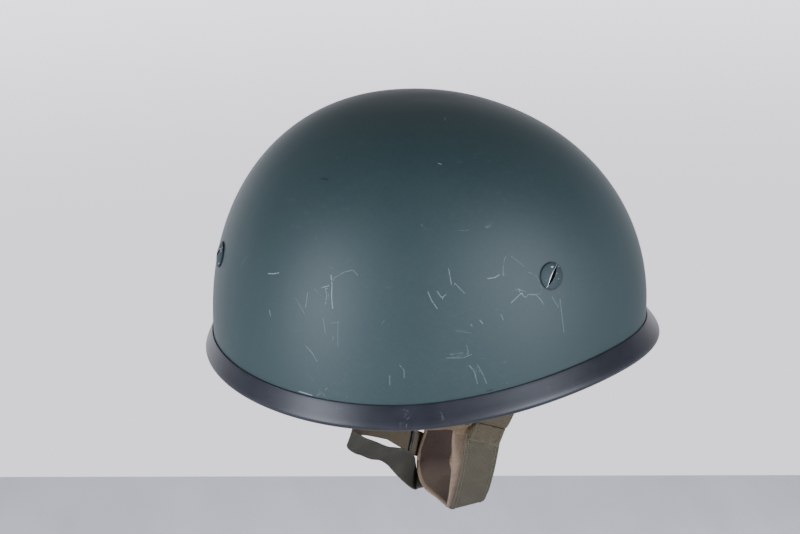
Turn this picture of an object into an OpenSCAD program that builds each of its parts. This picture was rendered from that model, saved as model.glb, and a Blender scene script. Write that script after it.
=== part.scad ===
// Paratrooper helmet: a rimless steel dome with a rubber edge, held to its liner by three slotted
// bolts, with a sprung leather liner and a webbing harness that hangs from the same bolts.
// Millimetres. +Z is up, the wearer looks along -Y and the wearer's right is -X. The origin is in
// the middle of the head opening, where the rubber edge meets the steel.

/* [Steel dome] */
// Length of the dome over the steel, front to back
shell_length = 268; // [250:1:290]
// Width of the dome over the steel
shell_width = 228; // [210:1:245]
// Height of the crown above the rim line
shell_height = 143.5; // [130:0.5:155]
// Thickness of the sheet steel
shell_wall = 1.4; // [1:0.1:2]
// How far the widest section lies behind the middle
widest_back = 22; // [5:1:30]
// How far the crown leans forward from the widest section
crown_forward = 9; // [0:1:15]
// Extra fullness of the brow
front_swell = 5; // [0:0.5:8]
// Roundness of the dome along its front, 2 is an ellipse
front_power = 2.02; // [1.8:0.02:2.6]
// Roundness of the dome along its back
back_power = 2.36; // [1.8:0.02:2.6]
// Roundness of the dome along its sides
side_power = 2.38; // [1.8:0.02:2.6]
// Height of the rim line at the brow
rim_front = -2; // [-5:0.5:3]
// Height of the rim line at the nape
rim_back = 6; // [0:0.5:9]
// Rise of the rim line over the temples
rim_temple = 4.6; // [0:0.2:7]
// How far the steel runs down inside the rubber edge
steel_tuck = 8.2; // [6:0.2:9]

/* [Rubber edge] */
// How far the skirt stands out from the steel at the brow
skirt_front = 8.3; // [6:0.1:10]
// How far the skirt stands out from the steel at the nape
skirt_back = 5.4; // [4:0.1:8]
// Drop of the skirt from the rim line to its outer corner
skirt_drop = 10.3; // [10:0.1:12]
// Drop of the underside of the rubber from the rim line
edge_drop = 14.4; // [13:0.1:16]
// Thickness of the rubber inside the steel
inner_lip = 3; // [2:0.1:4]
// Fit of the rubber against the steel
edge_fit = 0.15; // [0.1:0.01:0.3]

/* [Bolts] */
// Angle of the two side bolts from straight ahead
side_bolt_angle = 61; // [55:1:68]
// Height of the side bolts above the rim line
side_bolt_height = 60; // [54:1:62]
// Height of the rear bolt above the rim line
rear_bolt_height = 59; // [54:1:62]
// Diameter of the bolt heads
bolt_head_d = 15.6; // [13:0.1:18]
// Height of the domed bolt heads
bolt_head_h = 2.1; // [1.6:0.1:3]
// Diameter of the bolt shanks
bolt_d = 5; // [4:0.1:6]
// Width of the coin slot at its middle
slot_width = 2.4; // [1.6:0.1:3]
// Thickness of the nuts
nut_h = 4; // [3:0.1:5]
// Thickness of the washers
washer_h = 1; // [0.8:0.1:1.5]

/* [Liner] */
// Distance of the outer liner band from the outside of the dome
band_inset = 10.8; // [9:0.1:13]
// Thickness of the liner bands
band_t = 1; // [0.8:0.1:1.4]
// Width of the outer liner band
outer_band_w = 22; // [18:1:26]
// Distance of the inner liner band from the outside of the dome
inner_inset = 23; // [21.6:0.1:26]
// Lower edge of the inner liner band
inner_band_low = 34; // [28:1:40]
// Width of the inner liner band
inner_band_w = 24; // [18:1:30]
// Thickness of the leather
leather_t = 1.8; // [1.2:0.1:2.4]
// Number of leather fingers
finger_count = 8; // [6:1:9]
// Share of the dome's radius left open where the fingers meet
crown_opening = 0.3; // [0.24:0.02:0.4]
// Diameter of the lace at the crown
lace_d = 2.2; // [1.6:0.1:3]
// Thickness of the foam pads on the wall
pad_t = 7.4; // [5:0.1:8]
// Thickness of the foam pad under the crown
crown_pad_t = 13; // [8:0.5:16]

/* [Harness] */
// Width of the webbing of the chin strap
web_w = 21.5; // [18:0.5:25]
// Width of the webbing of the front legs
leg_w = 18.5; // [16:0.5:22]
// Thickness of the webbing
web_t = 1.7; // [1.3:0.1:2]
// How far the leather lining stands out behind the webbing near the studs
lining_overhang = 6; // [2:0.5:8]
// Thickness of the leather lining
lining_t = 2.6; // [1.8:0.1:3]
// Half of the width between the outer faces of the harness at its studs
stud_reach = 86; // [82:0.5:90]
// Distance of the studs in front of the middle of the dome
stud_forward = 13.5; // [8:0.5:20]
// Depth of the studs below the rim line
stud_drop = 39.5; // [36:0.5:46]
// Depth of the chin loop below the studs
chin_depth = 89; // [80:1:98]
// Tilt of the webbing at the bottom of the chin loop
chin_tilt = 8; // [0:1:12]
// Width of the nape strap and of the rear strap
nape_w = 17; // [14:0.5:20]
// Thickness of the nape strap
nape_t = 1.3; // [1:0.1:1.8]
// Diameter of the stud posts
stud_d = 4; // [3.6:0.1:4.6]
// Diameter of the stud sockets
socket_d = 11.6; // [11:0.1:14]
// Length of the slide buckle along the strap
buckle_l = 11; // [10:0.5:14]
// Thickness of the bars of the slide buckle
buckle_bar = 2; // [1.6:0.1:2.6]

/* [Hidden] */

$fa = 6;
$fs = 0.5;

steel_green = [0.27, 0.36, 0.38];
rubber_black = [0.2, 0.21, 0.24];
plain_steel = [0.6, 0.61, 0.6];
zinc = [0.5, 0.5, 0.48];
leather_brown = [0.42, 0.3, 0.22];
leather_tan = [0.66, 0.52, 0.36];
olive_web = [0.36, 0.34, 0.28];
foam_grey = [0.35, 0.35, 0.34];
lace_cream = [0.75, 0.7, 0.58];
black_steel = [0.08, 0.08, 0.09];

// Steps round the dome and up its sides
around = 72;
rows = 16;
// Steps round the bands and the rubber edge
band_steps = 64;
// Gap between pieces that lie face to face
lay = 0.2;
// Gap between pieces that move past each other
run_gap = 0.3;
// Radial clearance of the bolts in their holes
bolt_clear = 0.3;
// Radial clearance of the stud posts in their sockets
stud_clear = 0.08;
// Seat of the bolt heads above the steel, and thread past the nuts
head_seat = 0.05;
thread_end = 1.2;
// Diameter of the spacers and washers, and across the corners of the nuts
collar_d = bolt_d + 6;
nut_d = bolt_d + 4.2;
// Length of the bolt holes inwards from the dome
hole_reach = band_inset + 8;

outer_band_low = side_bolt_height - outer_band_w / 2;
outer_band_high = outer_band_low + outer_band_w;
inner_band_high = inner_band_low + inner_band_w;

// Bolts as angle, height and turn of the slot
bolts = [
    [-side_bolt_angle, side_bolt_height, -26],
    [side_bolt_angle, side_bolt_height, 70],
    [180, rear_bolt_height, -38]
];

// Surface helpers

function unit(v) = v / norm(v);
function lerp(a, b, k) = a + (b - a) * k;
function clamp(k) = min(1, max(0, k));
function smooth(k) = let (c = clamp(k)) c * c * (3 - 2 * c);
function sq(x) = x * x;

// Angle 0 is straight ahead and 90 is the wearer's left
function power_at(a) =
    side_power * (1 - sq(cos(a))) + (cos(a) > 0 ? front_power : back_power) * sq(cos(a));
function half_length(a) = shell_length / 2 + (cos(a) > 0 ? widest_back : -widest_back);

// A point of the dome, or of the same dome drawn in all round by an inset
function dome(a, z, inset) =
    let (
        q = clamp(z / (shell_height - inset)),
        n = power_at(a),
        r = pow(max(0, 1 - pow(q, n)), 1 / n),
        swell = cos(a) > 0 ? 2 * front_swell * sq(cos(a)) * q * (1 - q) : 0,
        ahead = (half_length(a) - inset) * cos(a) * r + crown_forward * sq(q) + swell
    )
    [(shell_width / 2 - inset) * sin(a) * r, widest_back - ahead, z];
function dome_normal(a, z) =
    let (
        along = dome(a + 0.5, z, 0) - dome(a - 0.5, z, 0),
        up = dome(a, z + 0.5, 0) - dome(a, z - 0.5, 0)
    )
    unit(cross(along, up));
// A point of a band, which is straight between its lower and upper edge
function band_between(a, z, inset, low, high) =
    let (k = (z - low) / (high - low))
    k > 0 && k < 1 ? lerp(dome(a, low, inset), dome(a, high, inset), k) : dome(a, z, inset);
function band_point(a, z, inset) = band_between(a, z, inset, outer_band_low, outer_band_high);
// Direction out of the wall, which is that of the outer band where a strap lies on it
function wall_normal(a, z) =
    z < outer_band_low - 10
        ? dome_normal(a, z)
        : unit(cross(
            dome(a + 0.5, z, 0) - dome(a - 0.5, z, 0),
            dome(a, outer_band_high, band_inset) - dome(a, outer_band_low, band_inset)
        ));
// Depth of a band surface below the dome at a bolt, along the bolt
function band_depth(b, inset) =
    (dome(b[0], b[1], 0) - band_point(b[0], b[1], inset)) * dome_normal(b[0], b[1]);

function rim_line(a) =
    (cos(a) > 0 ? rim_front * sq(cos(a)) + rim_temple * sq(sin(2 * a)) : rim_back * sq(cos(a)));

// Solids made of rings of points

function pick(v, i) = is_list(v) ? v[i] : v;
function wall_faces(m, k, closed) = [
    for (i = [0:m - (closed ? 1 : 2)], j = [0:k - 1])
        let (
            i2 = (i + 1) % m,
            j2 = (j + 1) % k
        )
        each [
            [i * k + j, i * k + j2, i2 * k + j2],
            [i * k + j, i2 * k + j2, i2 * k + j]
        ]
];

// Sections joined in a closed loop
module closed_sweep(sections) {
    polyhedron(
        points = [for (s = sections) each s],
        faces = wall_faces(len(sections), len(sections[0]), true)
    );
}

// Sections joined from the first to the last, with flat ends
module open_sweep(sections) {
    m = len(sections);
    k = len(sections[0]);
    polyhedron(
        points = [for (s = sections) each s],
        faces = concat(
            wall_faces(m, k, false),
            [for (j = [1:k - 2]) [0, j + 1, j]],
            [for (j = [1:k - 2]) [(m - 1) * k, (m - 1) * k + j, (m - 1) * k + j + 1]]
        )
    );
}

// A cap between two insets of the dome, open below, from one edge height up to the crown
module dome_cap(inset_out, inset_in, low_out, low_in, n, m) {
    top_out = shell_height - inset_out;
    top_in = shell_height - inset_in;
    k = 2 * m;
    points = [
        for (i = [0:n - 1])
            let (a = i * 360 / n)
            each concat(
                [dome(a, low_in(a), inset_in)],
                [for (j = [0:m - 1]) dome(a, lerp(low_out(a), top_out, sin(90 * j / m)), inset_out)],
                [for (j = [m - 1:-1:1]) dome(a, lerp(low_in(a), top_in, sin(90 * j / m)), inset_in)]
            )
    ];
    poles = [dome(0, top_out, inset_out), dome(0, top_in, inset_in)];
    polyhedron(
        points = concat(points, poles),
        faces = concat(
            [
                for (i = [0:n - 1], j = [0:k - 1])
                    if (j != m)
                        let (
                            i2 = (i + 1) % n,
                            j2 = (j + 1) % k
                        )
                        each [
                            [i * k + j, i * k + j2, i2 * k + j2],
                            [i * k + j, i2 * k + j2, i2 * k + j]
                        ]
            ],
            [for (i = [0:n - 1]) [((i + 1) % n) * k + m, i * k + m, n * k]],
            [for (i = [0:n - 1]) [i * k + m + 1, ((i + 1) % n) * k + m + 1, n * k + 1]]
        )
    );
}

// A smooth curve through key points, each a list of numbers
function curve_point(a, b, c, d, k) =
    0.5 * (2 * b + (c - a) * k + (2 * a - 5 * b + 4 * c - d) * k * k + (3 * b - a - 3 * c + d) * k * k * k);
function curve(keys, steps) =
    let (last = len(keys) - 1)
    concat(
        [
            for (i = [0:last - 1], j = [0:steps - 1])
                curve_point(
                    keys[max(0, i - 1)], keys[i], keys[i + 1], keys[min(last, i + 2)], j / steps
                )
        ],
        [keys[last]]
    );

// Flat strap: its middle line, and the direction of its width at each point
function headings(c) = [for (i = [0:len(c) - 1]) unit(c[min(i + 1, len(c) - 1)] - c[max(i - 1, 0)])];
function strap_sections(c, across, width, thick) =
    let (t = headings(c))
    [
        for (i = [0:len(c) - 1])
            let (
                w = unit(across[i] - t[i] * (across[i] * t[i])) * pick(width, i) / 2,
                n = cross(unit(w), t[i]) * thick / 2
            )
            [c[i] - w - n, c[i] + w - n, c[i] + w + n, c[i] - w + n]
    ];

// Steel dome

module steel_shell() {
    low = function (a) rim_line(a) - steel_tuck;
    color(steel_green)
    difference() {
        dome_cap(0, shell_wall, low, low, around, rows);
        for (b = bolts)
            at_bolt(b)
                translate([0, 0, -4 * shell_wall])
                    cylinder(d = bolt_d + 2 * bolt_clear, h = 8 * shell_wall);
    }
}

// Rubber edge: a channel over the edge of the steel, with a skirt that flares outwards

function trim_section(a) =
    let (
        skirt = lerp(skirt_back, skirt_front, (1 + cos(a)) / 2),
        inside = -shell_wall - inner_lip,
        groove = -steel_tuck - lay - edge_fit,
        profile = [
            [inside, 1.4 - edge_drop],
            [inside + 1.4, -edge_drop],
            [skirt - 4, -edge_drop],
            [skirt - 1.1, 0.5 - edge_drop],
            [skirt + 0.1, -skirt_drop - 1.8],
            [skirt, -skirt_drop],
            [lerp(1, skirt, 0.42), -0.45 * skirt_drop],
            [1, -0.4],
            [0.6, 0],
            [edge_fit, -0.2],
            [edge_fit, groove],
            [-shell_wall - edge_fit, groove],
            [-shell_wall - edge_fit, -2.4],
            [-shell_wall - 0.5 * inner_lip, -2.6],
            [inside, -4.6]
        ]
    )
    [for (p = profile) dome(a, rim_line(a) + p[1], -p[0])];

module rim_trim() {
    color(rubber_black)
    closed_sweep([for (i = [0:around - 1]) trim_section(i * 360 / around)]);
}

// Bolts: everything on a bolt is placed along the normal of the dome

module at_bolt(b) {
    n = dome_normal(b[0], b[1]);
    translate(dome(b[0], b[1], 0))
        rotate([0, acos(n.z), atan2(n.y, n.x)])
            children();
}
// Depths below the dome at a bolt
function spacer_top(b) = shell_wall + 2 * run_gap;
function band_face(b) = band_depth(b, band_inset);
function washer_face(b) = band_depth(b, leg_inset + arch) + web_t / 2 + lay;

module bolt(b) {
    head_r = bolt_head_d / 2;
    lip = 0.5;
    dome_rise = bolt_head_h - lip;
    dome_r = (sq(head_r) + sq(dome_rise)) / (2 * dome_rise);
    slot_r = 11;
    slot_rise = 9.8;
    length = washer_face(b) + washer_h + nut_h + thread_end;
    color(steel_green)
    at_bolt(b)
        difference() {
            union() {
                translate([0, 0, head_seat])
                    intersection() {
                        cylinder(d = bolt_head_d, h = bolt_head_h);
                        translate([0, 0, bolt_head_h - dome_r])
                            sphere(r = dome_r, $fn = 96);
                    }
                translate([0, 0, -length])
                    cylinder(d = bolt_d, h = length + 0.5);
            }
            rotate([0, 0, b[2]])
                translate([0, 0, slot_rise])
                    rotate([90, 0, 0])
                        slot_cutter(slot_r);
        }
}

// A disc that is thickest at its middle, so that the slot is widest and deepest at its middle
module slot_cutter(r) {
    cut_share = 0.32;
    mid = 0.5 * slot_width / cut_share;
    rotate_extrude()
        polygon([[0, -mid], [r, 0], [0, mid]]);
}

module bolt_spacers() {
    color(plain_steel)
    for (b = bolts)
        at_bolt(b)
            translate([0, 0, run_gap + 0.1 - band_face(b)])
                difference() {
                    cylinder(d = collar_d, h = band_face(b) - run_gap - 0.1 - spacer_top(b));
                    translate([0, 0, -1])
                        cylinder(d = bolt_d + bolt_clear, h = band_inset + 2);
                }
}

module bolt_washers() {
    color(zinc)
    for (b = bolts)
        at_bolt(b)
            translate([0, 0, -washer_face(b) - washer_h])
                difference() {
                    cylinder(d = collar_d, h = washer_h);
                    translate([0, 0, -1])
                        cylinder(d = bolt_d + bolt_clear, h = washer_h + 2);
                }
}

module bolt_nuts() {
    color(zinc)
    for (b = bolts)
        at_bolt(b)
            translate([0, 0, -washer_face(b) - washer_h - head_seat - nut_h])
                difference() {
                    cylinder(d = nut_d, h = nut_h, $fn = 6);
                    translate([0, 0, -1])
                        cylinder(d = bolt_d + 0.1, h = nut_h + 2);
                }
}

module bolt_holes(reach) {
    for (b = bolts)
        at_bolt(b)
            translate([0, 0, -reach])
                cylinder(d = bolt_d + 2 * bolt_clear, h = reach);
}

// Liner

function band_section(a, inset, thick, low, high) = [
    dome(a, low, inset + thick),
    dome(a, low, inset),
    dome(a, high, inset),
    dome(a, high, inset + thick)
];

module outer_band() {
    color(plain_steel)
    difference() {
        closed_sweep([
            for (i = [0:band_steps - 1])
                band_section(i * 360 / band_steps, band_inset, band_t, outer_band_low, outer_band_high)
        ]);
        bolt_holes(hole_reach);
    }
}

module inner_band() {
    color(plain_steel)
    closed_sweep([
        for (i = [0:band_steps - 1])
            band_section(i * 360 / band_steps, inner_inset, band_t, inner_band_low, inner_band_high)
    ]);
}

// Bow springs between the two bands, clear of the bolts and the harness legs
spring_angles = [0, 30, 96, 119, 142, 218, 241, 264, 330];
spring_half = 9;
spring_t = 0.8;
spring_w = 10;

function spring_point(a, z, foot, top, bow) =
    lerp(band_point(a, z, foot), band_between(a, z, top, inner_band_low, inner_band_high), bow);

module band_springs() {
    steps = 10;
    foot = band_inset + band_t + lay;
    top = inner_inset - lay - spring_t;
    middle = (outer_band_low + inner_band_high) / 2;
    low = middle - spring_w / 2;
    high = middle + spring_w / 2;
    color(plain_steel)
    for (s = spring_angles)
        open_sweep([
            for (i = [0:steps])
                let (
                    k = 2 * i / steps - 1,
                    a = s + k * spring_half,
                    bow = smooth(1.25 * (1 - abs(k)))
                )
                [
                    spring_point(a, low, foot + spring_t, top + spring_t, bow),
                    spring_point(a, low, foot, top, bow),
                    spring_point(a, high, foot, top, bow),
                    spring_point(a, high, foot + spring_t, top + spring_t, bow)
                ]
        ]);
}

// Leather: one sheet, whole along its lower edge and cut into fingers above
finger_cols = 8;
band_rows = 3;
finger_rows = 8;
leather_cols = finger_count * finger_cols;
leather_rows = band_rows + finger_rows;
leather_low = inner_band_low - 2;
leather_inset = inner_inset + band_t + lay;
leather_lean = 3;

function leather_height(j) =
    let (
        top = shell_height - leather_inset - leather_lean,
        high = top * pow(1 - pow(crown_opening, side_power), 1 / side_power),
        first = asin(leather_low / top),
        last = asin(high / top)
    )
    top * sin(lerp(first, last, j / leather_rows));
function leather_point(i, j, inset) =
    let (
        pitch = 360 / finger_count,
        k = 2 * (i % finger_cols) / (finger_cols - 1) - 1,
        up = j / leather_rows,
        slit = 1 + 7 * smooth((j - band_rows) / finger_rows),
        a = floor(i / finger_cols) * pitch + k * (pitch / 2 - slit),
        tip = 4 * pow(abs(k), 4) * pow(up, 6),
        z = leather_height(j) - tip,
        lean = leather_lean * smooth(1.6 * (z - leather_low) / inner_band_w)
    )
    dome(a, z, inset + lean);
function has_leather(i, j) =
    j >= 0 && j < leather_rows && (j < band_rows || (i + leather_cols) % finger_cols < finger_cols - 1);
function tri_pair(q) = [[q[0], q[1], q[2]], [q[0], q[2], q[3]]];

module leather_liner() {
    grid = [for (j = [0:leather_rows], i = [0:leather_cols - 1]) [i, j]];
    count = len(grid);
    outer = function (i, j) j * leather_cols + (i + leather_cols) % leather_cols;
    inner = function (i, j) count + outer(i, j);
    faces = [
        for (j = [0:leather_rows - 1], i = [0:leather_cols - 1])
            if (has_leather(i, j))
                each concat(
                    tri_pair([outer(i, j), outer(i, j + 1), outer(i + 1, j + 1), outer(i + 1, j)]),
                    tri_pair([inner(i, j), inner(i + 1, j), inner(i + 1, j + 1), inner(i, j + 1)]),
                    has_leather(i, j - 1) ? []
                        : tri_pair([outer(i, j), outer(i + 1, j), inner(i + 1, j), inner(i, j)]),
                    has_leather(i, j + 1) ? []
                        : tri_pair([
                            inner(i, j + 1), inner(i + 1, j + 1), outer(i + 1, j + 1), outer(i, j + 1)
                        ]),
                    has_leather(i - 1, j) ? []
                        : tri_pair([outer(i, j), inner(i, j), inner(i, j + 1), outer(i, j + 1)]),
                    has_leather(i + 1, j) ? []
                        : tri_pair([
                            outer(i + 1, j + 1), inner(i + 1, j + 1), inner(i + 1, j), outer(i + 1, j)
                        ])
                )
    ];
    color(leather_brown)
    polyhedron(
        points = concat(
            [for (g = grid) leather_point(g[0], g[1], leather_inset)],
            [for (g = grid) leather_point(g[0], g[1], leather_inset + leather_t)]
        ),
        faces = faces
    );
}

// Lace that gathers the tips of the fingers, lying on the leather
module crown_lace() {
    sides = 6;
    inset = leather_inset + leather_lean - lay - lace_d / 2;
    lace_drop = 3;
    z = leather_height(leather_rows) - lace_drop;
    color(lace_cream)
    closed_sweep([
        for (i = [0:band_steps - 1])
            let (
                a = i * 360 / band_steps,
                mid = dome(a, z, inset),
                out = unit([mid.x, mid.y - dome(0, shell_height, 0).y, 0])
            )
            [for (s = [0:sides - 1]) mid + lace_d / 2 * (cos(s * 60) * out + sin(s * 60) * [0, 0, 1])]
    ]);
}

// Foam pads glued to the inside of the dome
pad_fit = 0.4;
module crown_pad() {
    low = function (a) shell_height * 0.86;
    low_in = function (a) shell_height * 0.84;
    color(foam_grey)
    dome_cap(shell_wall + pad_fit, shell_wall + pad_fit + crown_pad_t, low, low_in, 36, 6);
}

module wall_pad(middle, half, low, high) {
    steps = 14;
    wall = shell_wall + pad_fit;
    color(foam_grey)
    open_sweep([
        for (i = [0:steps])
            let (
                k = 2 * i / steps - 1,
                a = middle + half * k,
                full = pow(1 - pow(abs(k), 6), 0.5),
                t = max(0.18, full) * pad_t,
                draw = 3 * (1 - full),
                b = low + draw,
                h = high - draw
            )
            [
                dome(a, b + 2, wall + t),
                dome(a, b, wall + 0.6 * t),
                dome(a, b, wall),
                dome(a, h, wall),
                dome(a, h, wall + 0.6 * t),
                dome(a, h - 2, wall + t),
                dome(a, (b + h) / 2, wall + 1.12 * t)
            ]
    ]);
}

pad_low = 11;
pad_high = outer_band_low - 5;

module forehead_pad() {
    wall_pad(0, 34, pad_low, pad_high);
}
module nape_pad() {
    wall_pad(180, 34, pad_low + 4, pad_high + 2);
}
module temple_pad_right() {
    wall_pad(-108, 20, pad_low, pad_high);
}
module temple_pad_left() {
    wall_pad(108, 20, pad_low, pad_high);
}

// Harness: layers at the studs, counted inwards from the outer face

// Room for the curve of the band behind a flat strap
arch = 0.35;
leg_inset = band_inset + band_t + lay + web_t / 2 + 0.15;
stud_y = -stud_forward;
stud_z = -stud_drop;
flange_t = 0.8;
layer_outer = stud_reach - web_t / 2;
layer_fold = layer_outer - web_t - flange_t - 2 * lay;
layer_rear = layer_fold - web_t - lay;
layer_chin = layer_rear - web_t - run_gap;

// Front leg: hangs from the side bolt, folds round the stud's flange and is sewn to itself
leg_slope = 22;
module front_leg() {
    down = [0, sin(leg_slope), -cos(leg_slope)];
    across = [0, cos(leg_slope), sin(leg_slope)];
    stud = [-layer_outer, stud_y, stud_z];
    fold_r = (layer_outer - layer_fold) / 2;
    fold_at = 4;
    inset = leg_inset + arch;
    top = band_point(-side_bolt_angle, outer_band_high - 0.5, inset);
    foot = band_point(-side_bolt_angle, outer_band_low + 0.5, inset);
    hang = concat(
        [top],
        curve(
            [
                foot,
                dome(-side_bolt_angle - 3, 0.5 * side_bolt_height, inset + 0.3),
                dome(-side_bolt_angle - 7.5, 0, inset + 1.5),
                stud - 14 * down - [3.6, 0, 0],
                stud - 7 * down
            ],
            4
        )
    );
    tab = [
        stud,
        stud + fold_at * down,
        for (a = [45:45:135])
            stud + (fold_at + fold_r * sin(a)) * down + [fold_r * (1 - cos(a)), 0, 0],
        stud + fold_at * down + [2 * fold_r, 0, 0],
        stud - 10 * down + [2 * fold_r, 0, 0]
    ];
    line = concat(hang, tab);
    last = len(hang) - 1;
    t = headings(line);
    sides = [
        for (i = [0:len(line) - 1])
            let (
                k = smooth((i - 1) / (last - 1)),
                out = lerp(wall_normal(-side_bolt_angle - 6 * k, line[min(i, last)].z), [-1, 0, 0], k)
            )
            i < last ? unit(cross(out, t[i])) : across
    ];
    color(olive_web)
    difference() {
        open_sweep(strap_sections(line, sides, leg_w, web_t));
        bolt_holes(hole_reach);
        translate([-layer_outer + web_t / 2 + 0.1, stud_y, stud_z])
            rotate([0, 90, 0])
                cylinder(d = stud_d + 0.6, h = 8);
    }
}

// Rear strap: one length round the back, held at its middle by the rear bolt
function rear_key(a, z, inset, lean, turn) =
    let (p = band_point(a, z, inset))
    [p.x, p.y, p.z, lean, turn, a];
module rear_strap() {
    a0 = 75;
    // Place, outward lean of the upper edge, share of the dome's normal, and angle
    keys = [
        [layer_rear, stud_y - 6, stud_z - 2.6, 0, 0, a0],
        [layer_rear, stud_y, stud_z, 0, 0, a0],
        [layer_rear, stud_y + 9.6, stud_z + 4.4, 0, 0, a0],
        [layer_rear + 5.4, stud_y + 15, stud_z + 7.4, 46, 0.1, a0 + 6],
        [layer_rear + 7.6, stud_y + 20.5, stud_z + 9.8, 56, 0.3, a0 + 10],
        rear_key(a0 + 17, stud_z + 17.5, leg_inset + 7, 40, 0.8),
        rear_key(a0 + 31, stud_z + 31.5, leg_inset + 3, 12, 1),
        rear_key(a0 + 45, 8, leg_inset + 0.8, 0, 1),
        rear_key(a0 + 60, 22, leg_inset, 0, 1),
        rear_key(a0 + 75, 35, leg_inset, 0, 1),
        rear_key(a0 + 91, 51, leg_inset, 0, 1),
        rear_key(180, rear_bolt_height, leg_inset, 0, 1)
    ];
    half = [
        for (k = curve(keys, 4))
            [k[1] < 5 ? max(layer_rear, k[0]) : k[0], k[1], k[2], max(0, k[3]), clamp(k[4]), k[5]]
    ];
    m = len(half);
    whole = concat(
        [for (k = half) [-k[0], k[1], k[2], k[3], k[4], -k[5]]],
        [for (i = [m - 2:-1:0]) half[i]]
    );
    line = [for (k = whole) [k[0], k[1], k[2]]];
    t = headings(line);
    across = [
        for (i = [0:len(line) - 1])
            let (
                k = whole[i],
                out = unit(lerp([sign(k[0]), 0, 0], wall_normal(k[5], k[2]), k[4])),
                up = unit(cross(t[i], out))
            )
            cos(k[3]) * up + sin(k[3]) * out
    ];
    widths = [for (k = whole) nape_w * lerp(0.5, 1, smooth((k[1] - stud_y - 2) / 22))];
    color(olive_web)
    difference() {
        open_sweep(strap_sections(line, across, widths, web_t));
        bolt_holes(hole_reach);
        translate([-stud_reach, stud_y, stud_z])
            rotate([0, 90, 0])
                cylinder(d = stud_d + 0.6, h = 2 * stud_reach);
    }
}

// Stud: flange between the layers of the front leg, post and ball pointing inwards.
// Socket: eyelet, flange and cap on the inner face of the chin strap. Both along the stud's axis
stud_r = stud_d / 2;
ball_r = stud_r + 0.3;
socket_r = stud_r + stud_clear;
lip_end = web_t + 0.5;
ball_at = lip_end + sqrt(sq(ball_r) - sq(socket_r)) + 0.1;
cavity_end = ball_at + ball_r + 0.2;
cap_end = cavity_end + 0.7;

module stud() {
    neck = layer_outer - layer_chin - web_t - lay - flange_t + ball_at;
    color(plain_steel)
    translate([-layer_outer + web_t / 2 + lay, stud_y, stud_z])
        rotate([0, 90, 0]) {
            cylinder(d = 7.6, h = flange_t);
            cylinder(r = stud_r, h = flange_t + neck);
            translate([0, 0, flange_t + neck])
                sphere(r = ball_r, $fn = 32);
        }
}

module socket() {
    tube = socket_r + 0.5;
    cap = ball_r + 1.2;
    color(plain_steel)
    translate([-layer_chin - web_t / 2, stud_y, stud_z])
        rotate([0, 90, 0])
            rotate_extrude($fn = 48)
                polygon([
                    [socket_r, 0],
                    [tube, 0],
                    [tube, web_t + 0.1],
                    [socket_d / 2, web_t + 0.1],
                    [socket_d / 2, web_t + 0.8],
                    [cap, web_t + 0.9],
                    [cap, cap_end - 0.8],
                    [cap - 0.8, cap_end],
                    [0, cap_end],
                    [0, cavity_end],
                    [ball_r + 0.3, cavity_end],
                    [ball_r + 0.3, lip_end],
                    [socket_r, lip_end]
                ]);
}

// Chin loop, as share of its half width, place behind the studs and share of its depth.
// It hangs unevenly, because the nape strap draws it over to the left
chin_shape = [
    [-1, 1.2, 0.07],
    [-0.97, 1.8, 0.163],
    [-0.83, 2, 0.376],
    [-0.64, 1.5, 0.59],
    [-0.446, 0.5, 0.764],
    [-0.255, -1, 0.899],
    [-0.05, -2, 0.978],
    [0.18, 0.5, 1],
    [0.395, 6, 0.978],
    [0.574, 4, 0.899],
    [0.714, -3, 0.747],
    [0.842, -5, 0.522],
    [0.944, -2, 0.253],
    [1, 0.4, 0.07]
];
chin_top = -0.095;
chin_steps = 3;
chin_keys = concat([[-1, 0, chin_top], [-1, 0, 0]], chin_shape, [[1, 0, 0], [1, 0, chin_top]]);
chin_shares = curve(chin_keys, chin_steps);
chin_line = [
    for (c = chin_shares)
        [layer_chin * max(-1, min(1, c[0])), stud_y + c[1], stud_z - chin_depth * c[2]]
];
chin_heading = headings(chin_line);
chin_across = [
    for (i = [0:len(chin_line) - 1])
        let (
            tilt = chin_tilt * smooth((chin_shares[i][2] - 0.55) / 0.4),
            w = [0, cos(tilt), -sin(tilt)]
        )
        unit(w - chin_heading[i] * (w * chin_heading[i]))
];
chin_out = [for (i = [0:len(chin_line) - 1]) cross(chin_across[i], chin_heading[i])];

module chin_strap() {
    widths = [for (c = chin_shares) web_w * lerp(0.55, 1, smooth((c[2] - chin_top) / 0.11))];
    color(olive_web)
    difference() {
        open_sweep(strap_sections(chin_line, chin_across, widths, web_t));
        translate([-stud_reach, stud_y, stud_z])
            rotate([0, 90, 0])
                cylinder(d = stud_d + 2 * stud_clear + 1.3, h = 2 * stud_reach);
    }
}

// Places along the chin loop where the nape strap is sewn under it and into it
bottom_i = 10 * chin_steps + 1;
sewn_i = 11 * chin_steps + 1;
// Room between the sewn end and the curve of the chin strap, and under the lining
sewn_lift = 1.7;
sewn_room = 1.6;

// The lining stands off over the sockets and where the end of the nape strap is sewn in under it
module chin_lining() {
    first = chin_steps - 1;
    last = len(chin_line) - 1 - first;
    cap_rise = cap_end - web_t;
    picks = [for (i = [first:last]) i];
    over = [for (i = picks) lining_overhang * lerp(1, 0.3, smooth(chin_shares[i][2]))];
    line = [
        for (j = [0:len(picks) - 1])
            let (
                i = picks[j],
                over_socket = 1 - smooth((chin_shares[i][2] - 0.09) / 0.2),
                over_end = 1 - smooth((abs(i - sewn_i) - 1.5) / 3.5),
                sewn_rise = nape_t + sewn_lift + sewn_room,
                rise = web_t / 2 + lay + lining_t / 2 + cap_rise * over_socket + sewn_rise * over_end
            )
            chin_line[i] - rise * chin_out[i] + (over[j] / 2) * chin_across[i]
    ];
    color(leather_tan)
    open_sweep(strap_sections(
        line, [for (i = picks) chin_across[i]], [for (o = over) web_w + o + 0.6], lining_t
    ));
}

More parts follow.
